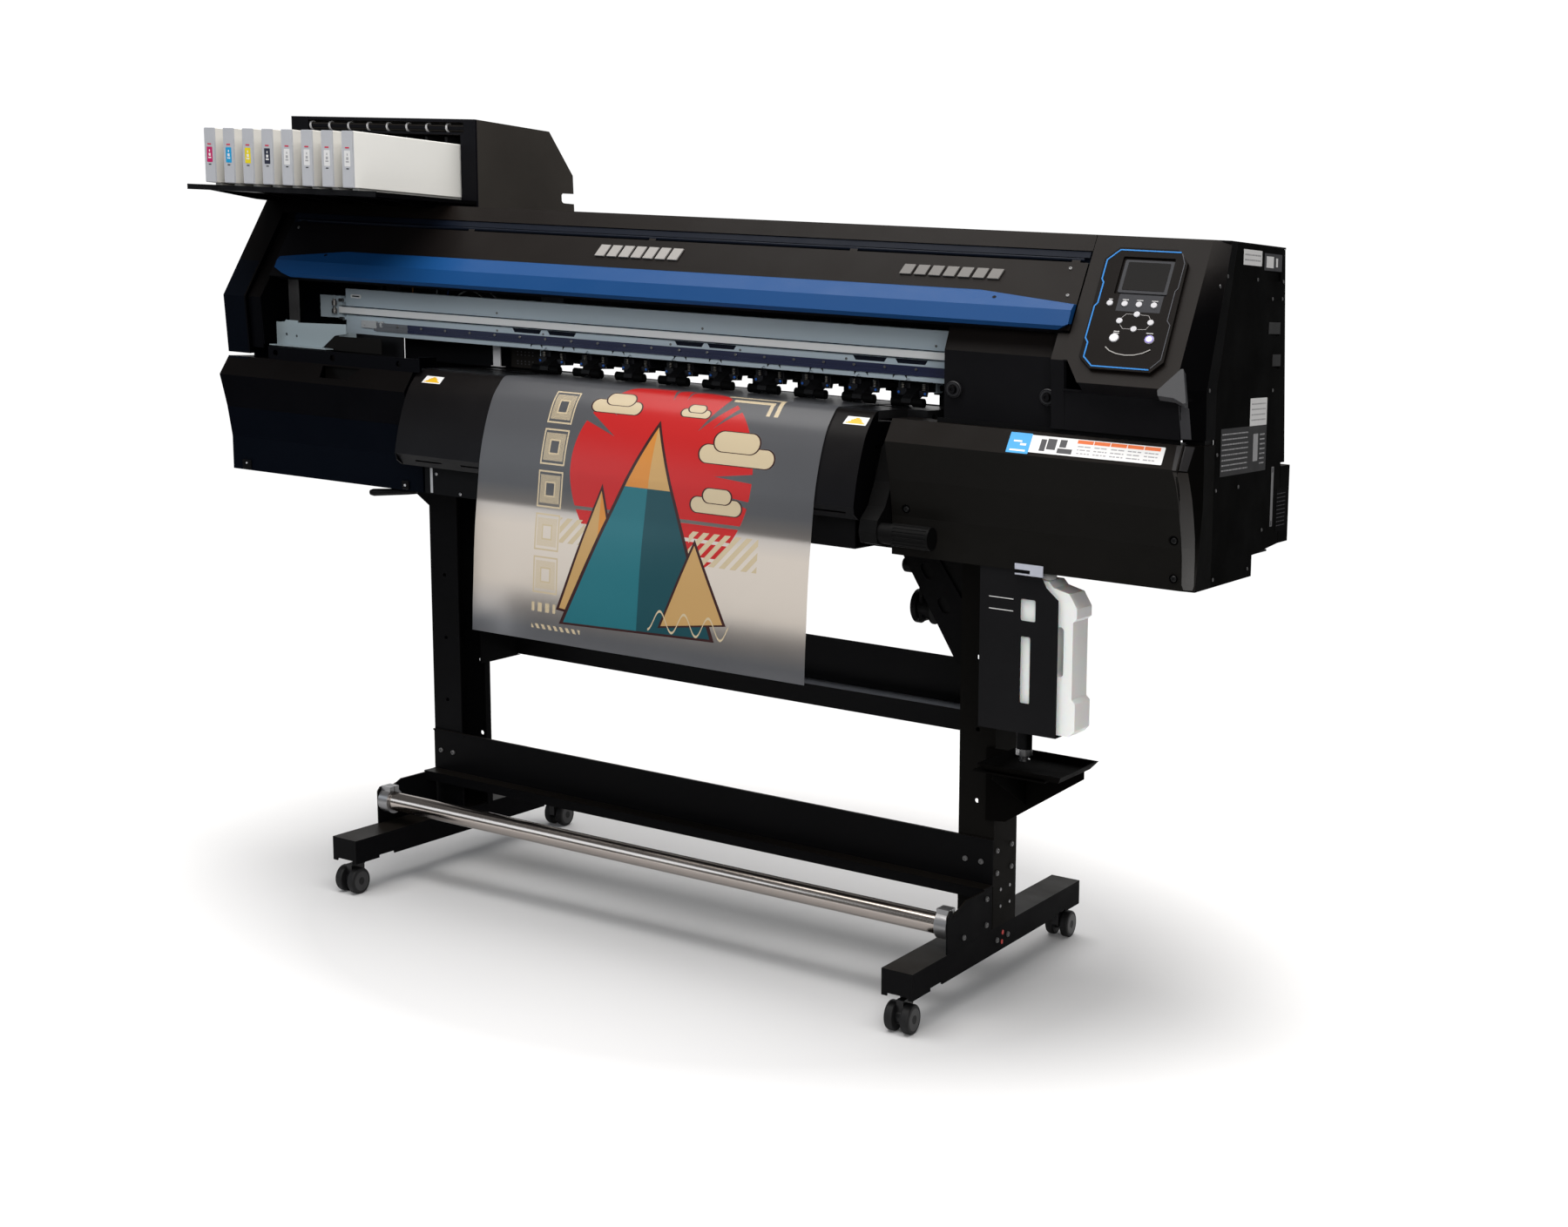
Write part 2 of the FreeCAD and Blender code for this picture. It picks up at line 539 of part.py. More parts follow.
def lower_right_cover():
    cover = lower_cover(471, 960.5, True, False)
    outer = [(-219, SEAM_Z - 4), (-246, 948), (-229, 887), (-218, 827), (-218, BODY_BOTTOM)]
    far = [(-190, SEAM_Z - 4), (-188, 948), (-188, 887), (-200, 827), (-213, BODY_BOTTOM)]
    back_edge = [(-140, BODY_BOTTOM), (-140, SEAM_Z - 4)]
    solid = loft([V(960, y, z) for y, z in outer + back_edge], [V(HALF_W, y, z) for y, z in far + back_edge])
    near_in = [(-216, SEAM_Z - 7), (-242, 948), (-226, 887), (-215, 827), (-215, 766), (-139, 766), (-139, SEAM_Z - 7)]
    far_in = [(-188, SEAM_Z - 7), (-186, 948), (-186, 887), (-198, 827), (-210, 766), (-139, 766), (-139, SEAM_Z - 7)]
    hollow = loft([V(959, y, z) for y, z in near_in], [V(HALF_W - SHEET, y, z) for y, z in far_in])
    body = fuse([cover, solid.cut(hollow)])
    for x, z in ((949, 839), (950, 781), (497, 839)):
        body = body.cut(cyl(x, -231, z, 8, 12, "y"))
        body = body.fuse(cyl(x, -219, z, 8, 4, "y")).cut(cyl(x, -231, z, 7, 14, "y"))
    return body.removeSplitter()


def front_cover():
    """Hinged slanted panel above the print zone."""
    def off(z, d):
        return (slope_y(z) + 0.824 * d, z - 0.5665 * d)
    skin = prism_x([off(1248, 0), off(1143, 0), off(1143, SHEET), off(1248, SHEET)], -889, 764)
    stiffener = prism_x([off(1158, SHEET), off(1146, SHEET), off(1146, 14), off(1149, 14), off(1149, SHEET + 2),
                         off(1158, SHEET + 2)], -870, 750)
    rod = cyl(-880, HINGE_Y, HINGE_Z, 3, 1635)
    tab = [(-120, 1253.5), (-116.5, 1250.5), (-122.5, 1242.5), (-126.3, 1245)]
    tabs = [prism_x(tab, x, x + 14) for x in (-870, -460, -60, 340, 735)]
    return fuse([skin, stiffener, rod] + tabs)


def blue_band():
    def out(z, d):
        return (slope_y(z) - 0.824 * d, z + 0.5665 * d)
    section = [out(1197, 0.1), out(1195, 2), out(1167, 13), out(1144, 10), out(1142, 0.1)]
    band = prism_x(section, -894, 764)
    outline = [(-872, 1181), (-700, 1199), (573, 1199), (764, 1183), (764, 1153), (745, 1143), (-832, 1143), (-872, 1160)]
    return band.common(prism_y(outline, -230, -140))


def inner_panel():
    """Black panel between the media opening and the control housing."""
    face = prism_x([(-185, 992), (-185, 1099), (-166, 1137), (-163, 1137), (-182, 1099), (-182, 992)], 546, 744)
    wall = prism_x([(-182, 992), (-182, 1099), (-164, 1137), (-146, 1137), (-146, 992)], 546, 549)
    foot = box(546, 744, -185, -146, 990, 993)
    frame = prism_x([(-219, 991.5), (-226, 1098), (-199, 1138), (-195, 1138), (-216, 1098), (-209, 991.5)], 746, 768)
    web = box(744, 748, -186, -183, 992, 1090)
    step = box(743, 766, -216, -183, 991.5, 994)
    return fuse([face, wall, foot, frame, web, step])


def panel_knobs():
    knobs = []
    for x in (565, 727):
        knob = fuse([cyl(x, -193, 1037, 12, 8, "y"), cyl(x, -199, 1037, 6, 8, "y")])
        knobs.append(knob.cut(cyl(x, -200, 1037, 3, 3, "y")))
    return knobs[0].fuse(knobs[1])


def inner_plate():
    """Pale plate inside the left end, beside the parked position."""
    outline = [(-893, 1012), (-777, 1012), (-745, 1037), (-716, 1042), (-716, 1060), (-838, 1056), (-838, 1060),
               (-868, 1060), (-872, 1056), (-893, 1055)]
    plate = prism_y(outline, -178, -176)
    plate = plate.cut(cyl(-868, -179, 1032, 3, 5, "y")).cut(cyl(-842, -179, 1030, 2.5, 5, "y"))
    foot = box(-893, -750, -200, -147, 1010, 1012)
    tray_back = box(-760, -600, -150, -147, 985, 1043)
    side = box(-893, -890, -178, 12, 1012, 1055)
    return fuse([plate, foot, tray_back, side])


# ---------------------------------------------------------------- ink unit
def ink_housing():
    outline = [(-20, BODY_TOP), (-20, INK_TOP), (215, 1455), (293, 1374), (296, 1307), (296, BODY_TOP)]
    body = prism_x(outline, INK_X0, INK_X1)
    inner = [(-21, 1307), (-21, 1429), (0, 1429), (0, 1450), (211, 1450), (287, 1371), (290, 1309), (180, 1307)]
    body = body.cut(prism_x(inner, -938, -556))
    header = [(-21, 1433), (-21, 1452), (4, 1452), (4, 1433)]
    body = body.cut(prism_x(header, -938, -548))
    bar = cyl(-938, -9, 1441, 7, 390)
    notch = box(INK_X1 - 30, INK_X1 + 1, 262, 300, 1318, 1338)
    notch = notch.fuse(cyl(INK_X1 - 30, 262, 1328, 10, 31))
    body = body.cut(box(INK_X0 + 4, -942, -21, 180, 1307, 1450))
    body = body.fuse(box(INK_X0, -938, -20, -16, BODY_TOP, INK_TOP))
    return fuse([body.cut(notch), bar])


def ink_shelf():
    plate = box(INK_X0, INK_X1, -309, -20.5, 1299, 1306)
    lip = box(INK_X0, INK_X1, -309, -306, 1297, 1307)
    fins = [prism_x([(-285, 1299), (-30, 1299), (-30, 1293.2), (-96, 1293.2), (-102, 1287), (-150, 1288)], x, x + 3)
            for x in (-960, -840, -760, -660, -560)]
    pad = box(INK_X0 + 10, INK_X1 - 10, -88, -30, 1293.1, 1299)
    return fuse([plate, lip, pad] + fins)


def cartridge(i):
    x = CART_X0 + i * CART_STEP
    body = box(x, x + CART_W, CART_Y0 + 2, CART_Y0 + CART_LEN, CART_Z0, CART_Z0 + CART_H)
    long_edges = [e for e in body.Edges if abs(e.Vertexes[0].Y - e.Vertexes[1].Y) > 50]
    body = body.makeFillet(1.5, long_edges)
    front = box(x + 1, x + CART_W - 1, CART_Y0, CART_Y0 + 3, CART_Z0 + 1, CART_Z0 + CART_H - 1)
    runner = box(x + 6, x + CART_W - 6, CART_Y0 + 20, CART_Y0 + CART_LEN, CART_Z0 - 3.6, CART_Z0 + 1)
    return fuse([body, front, runner])


# ---------------------------------------------------------------- control panel
def panel_bezel():
    outline = [(-70, 88), (-50, 111), (44, 111), (64, 88), (67, -94), (50, -114), (-46, -114), (-68, -94)]
    face = Part.Face(wire([V(x, y, 0) for x, y in outline]))
    plate = face.extrude(V(0, 0, 6))
    plate = plate.cut(rounded(-40, 44, 24, 94, 10, 2).translated(V(0, 0, 2.5)))
    for x, y, r in BUTTONS:
        plate = plate.cut(Part.makeCylinder(r + 0.3, 10, V(x, y, -1)))
    return on_panel(plate, PANEL_X, PANEL_Z, 0.2)


# x and up-slope positions on the panel, and radius
BUTTONS = [(-42, 6, 5), (-18, 6, 5), (5, 6, 5), (29, 6, 5), (6, -12, 5), (-19, -25.5, 5), (31, -25.5, 5), (7, -39, 5),
           (-20, -57, 7.5), (36, -56, 7.5)]


def button(i):
    x, y, r = BUTTONS[i]
    cap = Part.makeCylinder(r, 6.3, V(x, y, 1.6))
    rim = [e for e in cap.Edges if e.Curve.TypeId == "Part::GeomCircle" and e.CenterOfMass.z > 5]
    return on_panel(cap.makeFillet(0.8, rim), PANEL_X, PANEL_Z, 0.0)


# ---------------------------------------------------------------- waste bottle
def bottle_bracket():
    front = prism_y([(628, 501), (762, 501), (762, 722), (741, 740), (730, 762.5), (628, 762.5)], -215, -212.5)
    front = front.cut(rounded_y(698, 724, 683, 718, -216, 5, 3)).cut(rounded_y(699, 716, 550, 658, -216, 5, 3))
    bottom = box(628, 762, -215, -95, 501, 503.5)
    left = box(628, 630.5, -215, -95, 501, 762.5)
    back = box(628, 700, -97.5, -95, 501, 762.5)
    flange = box(628, 700, -215, -180, 760.5, 762.9)
    valve = cyl(681, -150, 461, 13, 40.5, "z")
    return fuse([front, bottom, left, back, flange, valve])


def rounded_y(x0, x1, z0, z1, y0, depth, r):
    """Rounded rectangular block whose depth runs along +Y."""
    plate = rounded(x0, x1, z0, z1, depth, r)
    plate.Placement = FreeCAD.Placement(V(0, 0, 0), FreeCAD.Rotation(V(1, 0, 0), 90))
    return plate.translated(V(0, y0 + depth, 0))


def waste_bottle():
    outline = [(636, 506), (781, 506), (791, 516), (791, 560), (785, 566), (785, 690), (791, 696), (791, 712),
               (778, 734), (751, 741), (743, 750), (715, 750), (707, 741), (636, 741)]
    body = prism_y(outline, -208, -146)
    body = body.cut(rounded_y(752, 770, 600, 680, -215, 72, 6))
    upright = [e for e in body.Edges if abs(e.Vertexes[0].Y - e.Vertexes[-1].Y) > 50 and len(e.Vertexes) == 2]
    try:
        body = body.makeFillet(3, upright[:6])
    except Part.OCCError:
        pass
    return body


def tray_bracket():
    plate = prism_y([(568, 428), (568, 300), (604, 304), (628, 320), (745, 402), (745, 428)], -49, -46.3)
    support = box(620, 745, -215, -46.3, 425, 428)
    rib = prism_x([(-49, 340), (-49, 425), (-190, 425), (-190, 412)], 640, 643)
    return fuse([plate, support, rib])


def drip_tray():
    low = [(640, -208), (766, -208), (766, -74), (640, -74)]
    high = [(630, -223), (776, -223), (776, -62), (630, -62)]
    solid = loft([V(x, y, 428) for x, y in low], [V(x, y, 441) for x, y in high])
    low_in = [(643, -205), (763, -205), (763, -77), (643, -77)]
    high_in = [(632.5, -220), (773, -220), (773, -64.5), (632.5, -64.5)]
    hollow = loft([V(x, y, 430.5) for x, y in low_in], [V(x, y, 441.2) for x, y in high_in])
    return solid.cut(hollow)


# ---------------------------------------------------------------- export
def save(name, shape):
    shape.exportStep(f"parts/{name}.step")


def main():
    os.makedirs("parts", exist_ok=True)
    left_foot_x, right_foot_x = LEFT_X, RIGHT_X - FOOT_W
    nodes = {
        "left_foot": foot(left_foot_x),
        "right_foot": foot(right_foot_x),
        "left_post": post(LEFT_X, 1),
        "right_post": post(RIGHT_X, -1),
        "lower_crossbar": lower_crossbar(),
        "rear_crossbeam": rear_crossbeam(),
        "stand_brackets": stand_brackets(),
        "guide_tube": guide_tube(),
        "tube_clamps": Part.makeCompound([tube_clamp(LEFT_X + 3.2), tube_clamp(RIGHT_X - 25.2)]),
        "base_frame": fuse([base_frame(), rear_panel(), inner_plate()]),
        "rail_beam": fuse([rail_beam(), end_block(), linear_guide()]),
        "carriage": carriage(),
        "platen": platen(),
        "feed_roller": feed_roller(),
        "pinch_arms": pinch_arms(),
        "pinch_rollers": pinch_rollers(),
        "apron": apron(),
        "clamp_lever": clamp_lever(),
        "media_film": media_film(),
        "top_cover": top_cover(),
        "left_end_cover": left_end_cover(),
        "right_housing": fuse([right_housing(), inner_panel(), panel_knobs()]),
        "right_side_panel": right_side_panel(),
        "rear_box": rear_box(),
        "lower_left_cover": lower_left_cover(),
        "lower_right_cover": lower_right_cover(),
        "front_cover": front_cover(),
        "blue_band": blue_band(),
        "ink_housing": ink_housing(),
        "ink_shelf": ink_shelf(),
        "panel_bezel": panel_bezel(),
        "bottle_bracket": bottle_bracket(),
        "waste_bottle": waste_bottle(),
        "drip_tray": fuse([drip_tray(), tray_bracket()]),
    }
    for i in range(CART_COUNT):
        nodes[f"cartridge_{i + 1}"] = cartridge(i)
    for i in range(len(BUTTONS)):
        nodes[f"button_{i + 1}"] = button(i)
    corners = {"front_left": (left_foot_x, -1), "front_right": (right_foot_x, -1),
               "rear_left": (left_foot_x, 1), "rear_right": (right_foot_x, 1)}
    for corner, (x, side) in corners.items():
        nodes[f"fork_{corner}"] = caster_fork(x + FOOT_W / 2, side)
        nodes[f"wheels_{corner}"] = caster_wheels(x + FOOT_W / 2, side)
    for name, shape in nodes.items():
        save(name, shape)


main()
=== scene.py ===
import math
import random

import bmesh
import bpy
from mathutils import Euler, Matrix, Vector
from mathutils.bvhtree import BVHTree


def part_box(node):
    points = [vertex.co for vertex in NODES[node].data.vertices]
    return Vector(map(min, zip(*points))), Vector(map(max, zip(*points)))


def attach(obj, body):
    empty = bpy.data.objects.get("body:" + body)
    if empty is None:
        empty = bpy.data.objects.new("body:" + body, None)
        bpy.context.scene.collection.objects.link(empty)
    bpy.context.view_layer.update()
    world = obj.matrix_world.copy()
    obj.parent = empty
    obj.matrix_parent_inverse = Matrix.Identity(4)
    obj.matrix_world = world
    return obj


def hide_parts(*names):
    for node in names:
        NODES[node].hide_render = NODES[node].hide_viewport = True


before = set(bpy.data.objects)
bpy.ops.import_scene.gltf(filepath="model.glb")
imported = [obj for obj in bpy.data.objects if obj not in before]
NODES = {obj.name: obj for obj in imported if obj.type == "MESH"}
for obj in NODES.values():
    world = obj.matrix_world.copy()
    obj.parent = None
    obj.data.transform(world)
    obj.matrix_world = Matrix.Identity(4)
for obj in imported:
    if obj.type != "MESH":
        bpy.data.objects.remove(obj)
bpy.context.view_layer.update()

# Shapes are drawn in millimetres in the row frame, and MM turns them into metres. The camera, the lamps, the
# painted boxes of the materials and the print on the film are given in metres.
MM = 0.001
random.seed(7)

SIDE_X = 982.0                                          # outer face of the right side
SLOPE_Y, SLOPE_Z, SLOPE_K = -95.0, 1293.0, 0.6875       # top edge and lean of the slanted front
SLOPE_COS, SLOPE_SIN = 0.8240, 0.5665
SLOPE_N = Vector((0, -SLOPE_COS, SLOPE_SIN))
BEZEL_LIFT = 6.22                                       # raised face of the panel bezel above the slanted front
FILM_X0, FILM_X1 = -322.0, 361.0                        # sides of the film; below, its course as (y, z)
FILM_LINE = [(54, 993.2), (-20, 993.2), (-100, 993.2), (-170, 993.2), (-193.5, 993.0), (-206, 989.6), (-219.4, 977.6),
             (-237, 958), (-251.6, 931.3), (-262.7, 905), (-272.8, 875.2), (-279, 851.4), (-282, 838), (-287, 805),
             (-292.5, 770), (-298, 734), (-303, 690), (-307, 640), (-311, 590), (-313.4, 541)]
FILM_COLUMNS, FILM_FREE_FROM = 60, 420                  # columns of its grid; run after which it hangs free
CART_X, CART_STEP, CART_W = -923.0, 48, 27              # left side of the first cartridge, pitch and width
PINCH_X0, PINCH_STEP, PINCH_COUNT = -332, 94, 9         # middle of the first pinch group, pitch and number
WHEEL_R = 25
WHITE = 1.03                                            # brightness of the studio's white

# Ways to stand a flat outline up: its local x, y and z become the axes named.
X_UP_BACK = Matrix(((1, 0, 0, 0), (0, 0, -1, 0), (0, 1, 0, 0), (0, 0, 0, 1)))      # x, z, -y
X_UP_FORE = Matrix(((1, 0, 0, 0), (0, 0, 1, 0), (0, 1, 0, 0), (0, 0, 0, 1)))       # x, z, y
Y_UP_RIGHT = Matrix(((0, 0, 1, 0), (1, 0, 0, 0), (0, 1, 0, 0), (0, 0, 0, 1)))      # y, z, x

# ---------------------------------------------------------------- camera
CAM_AT = Vector((2.02986, -3.26226, 1.20662))
CAM_YAW, CAM_PITCH = math.radians(30.0545), math.radians(9.1901)
CAM_LENS = 48.47
CAM_LEAN = 0.058465     # how far the picture's right axis tips while uprights stay upright


def make_camera():
    data = bpy.data.cameras.new("camera")
    data.lens, data.sensor_width, data.clip_end = CAM_LENS, 36, 200
    cam = bpy.data.objects.new("camera", data)
    holder = bpy.data.objects.new("camera_holder", None)
    for obj in (cam, holder):
        bpy.context.scene.collection.objects.link(obj)
    base = Matrix.Translation(CAM_AT) @ Euler((math.pi / 2 - CAM_PITCH, 0, CAM_YAW)).to_matrix().to_4x4()
    tilt = math.atan(CAM_LEAN)
    lean = Matrix(((math.cos(tilt), 0, 0, 0), (math.sin(tilt), 1, 0, 0), (0, 0, 1, 0), (0, 0, 0, 1)))
    cam.matrix_basis = base
    cam.parent = holder
    cam.matrix_parent_inverse = base @ lean @ base.inverted()
    bpy.context.scene.camera = cam


# ---------------------------------------------------------------- materials
class Graph:
    """A small builder for node materials."""

    def __init__(self, name):
        self.mat = bpy.data.materials.new(name)
        self.mat.use_nodes = True
        self.tree = self.mat.node_tree
        self.tree.nodes.clear()
        self.bsdf = self.node("ShaderNodeBsdfPrincipled")
        out = self.node("ShaderNodeOutputMaterial")
        self.tree.links.new(self.bsdf.outputs[0], out.inputs[0])
        where = self.node("ShaderNodeTexCoord")
        self.pos, self.uv = where.outputs["Object"], where.outputs["UV"]

    def node(self, kind):
        return self.tree.nodes.new(kind)

    def put(self, socket, value):
        if isinstance(value, bpy.types.NodeSocket):
            self.tree.links.new(value, socket)
        elif isinstance(value, (tuple, list)) and len(value) == 3 and socket.type == "RGBA":
            socket.default_value = (*value, 1)
        else:
            socket.default_value = value

    def math(self, op, a, b=0.0):
        n = self.node("ShaderNodeMath")
        n.operation = op
        self.put(n.inputs[0], a)
        self.put(n.inputs[1], b)
        return n.outputs[0]

    def split(self, vector):
        n = self.node("ShaderNodeSeparateXYZ")
        self.put(n.inputs[0], vector)
        return n.outputs

    def stretch(self, vector, scale):
        n = self.node("ShaderNodeMapping")
        self.put(n.inputs["Vector"], vector)
        n.inputs["Scale"].default_value = scale
        return n.outputs[0]

    def noise(self, scale, detail=3.0, vector=None):
        n = self.node("ShaderNodeTexNoise")
        self.put(n.inputs["Vector"], vector or self.pos)
        n.inputs["Scale"].default_value = scale
        n.inputs["Detail"].default_value = detail
        n.inputs["Roughness"].default_value = 0.55
        return n.outputs[0]

    def uneven(self, scale, detail, low, high, vector=None):
        """Noise spread out to run from low to high."""
        return self.span(self.noise(scale, detail, vector), 0.3, 0.7, low, high)

    def span(self, value, low, high, lo=0.0, hi=1.0):
        n = self.node("ShaderNodeMapRange")
        self.put(n.inputs[0], value)
        for i, v in enumerate((low, high, lo, hi)):
            n.inputs[i + 1].default_value = v
        return n.outputs[0]

    def mix(self, factor, a, b, blend="MIX"):
        n = self.node("ShaderNodeMix")
        n.data_type, n.blend_type = "RGBA", blend
        self.put(n.inputs[0], factor)
        self.put(n.inputs[6], a)
        self.put(n.inputs[7], b)
        return n.outputs[2]

    def between(self, value, low, high):
        above = self.math("GREATER_THAN", value, low)
        return self.math("MULTIPLY", above, self.math("LESS_THAN", value, high))

    def inside(self, box):
        """1 inside a box of (low, high) pairs in metres, for x, y and z; None leaves an axis free."""
        out = None
        for value, pair in zip(self.split(self.pos), box):
            if pair is not None:
                mask = self.between(value, *pair)
                out = mask if out is None else self.math("MULTIPLY", out, mask)
        return out

    def bump(self, height, strength, distance=0.001):
        n = self.node("ShaderNodeBump")
        n.inputs["Strength"].default_value = strength
        n.inputs["Distance"].default_value = distance
        self.put(n.inputs["Height"], height)
        self.put(self.bsdf.inputs["Normal"], n.outputs[0])

    def give(self, name, value):
        """Link or set one input of the shader."""
        self.put(self.bsdf.inputs[name], value)

    def pin(self, name, value):
        self.bsdf.inputs[name].default_value = value
        return self


def shade(color, k):
    return tuple(min(1.0, c * k) for c in color)


def surface(name, color, rough=0.4, metal=0.0, specular=0.3, grain=900.0, strength=0.12, vary=0.18, patches=()):
    """Plain material with soft colour variation, fine grain and uneven gloss; patches repaint boxes of it."""
    g = Graph(name)
    cloud = g.noise(3.5, 5.0)
    tone = g.mix(cloud, shade(color, 1 - vary), shade(color, 1 + vary))
    roughness = g.uneven(14.0, 4.0, max(rough - 0.05, 0.02), rough + 0.06)
    for box, other in patches:
        tone = g.mix(g.inside(box), tone, other)
    g.give("Base Color", tone)
    g.give("Roughness", roughness)
    g.pin("Metallic", metal).pin("Specular IOR Level", specular)
    g.bump(g.noise(grain, 2.0), strength, 0.0004)
    return g.mat


def coat(name, low, high, rough=0.40, specular=0.065, grain=1100.0, patches=(), dim=None, side=0.32):
    """Satin paint with painted light and shade: cooler on upright faces, warmer on faces that look up, where
    light from above is painted in; faces that look right are side times as bright, painted shade where side
    is below 1 and painted light where it is above 1, with less gloss; dim is (from x, to x, colour) for a slow
    change of tone along the part, a painted shade that it takes left of from x."""
    g = Graph(name)
    turned = g.split(g.node("ShaderNodeNewGeometry").outputs["Normal"])
    upward, rightward = (turned[2], 0.1, 0.7), (turned[0], 0.45, 0.75)
    # Painted light and shade: the tone is picked by the way the face looks, not by the lamps.
    tone = g.mix(g.span(*upward), low, high)
    tone = g.mix(g.span(*rightward), tone, shade(low, side))
    if dim:
        tone = g.mix(g.span(g.split(g.pos)[0], dim[0], dim[1]), dim[2], tone)
    cloud = g.uneven(3.5, 5.0, 0.84, 1.16)
    grey = g.node("ShaderNodeCombineColor")
    for i in range(3):
        g.put(grey.inputs[i], cloud)
    tone = g.mix(1.0, tone, grey.outputs[0], "MULTIPLY")
    for box, other in patches:
        tone = g.mix(g.inside(box), tone, other)
    g.give("Base Color", tone)
    g.give("Roughness", g.uneven(14.0, 4.0, rough - 0.05, rough + 0.06))
    g.give("Specular IOR Level", g.span(*rightward, specular, 0.01))
    g.bump(g.noise(grain, 2.0), 0.08, 0.0004)
    return g.mat


def brushed(name, color, along, rough):
    """Metal drawn or brushed along x or z."""
    g = Graph(name)
    thin = {"x": (0.02, 1, 1), "z": (1, 1, 0.02)}[along]
    streak = g.noise(260.0, 4.0, g.stretch(g.pos, thin))
    g.give("Base Color", g.mix(streak, shade(color, 0.86), shade(color, 1.1)))
    g.give("Roughness", g.span(streak, 0.3, 0.7, rough - 0.05, rough + 0.07))
    g.pin("Metallic", 1.0)
    g.bump(streak, 0.1, 0.0002)
    return g.mat


def milky():
    """Cloudy plastic that lets some light into its walls."""
    g = Graph("milky_plastic")
    tone = g.mix(g.noise(9.0, 3.0), (0.79, 0.80, 0.79), (0.86, 0.86, 0.85))
    g.give("Base Color", tone)
    g.give("Roughness", g.uneven(40.0, 3.0, 0.32, 0.46))
    g.pin("Subsurface Weight", 0.35).pin("Subsurface Scale", 0.02)
    g.bump(g.noise(160.0, 3.0), 0.08, 0.0006)
    return g.mat


def label_paint(name, color, rough=0.4, vary=0.05, grain=1500):
    """Print and paper, nearly smooth."""
    return surface(name, color, rough, grain=grain, strength=0.03, vary=vary)


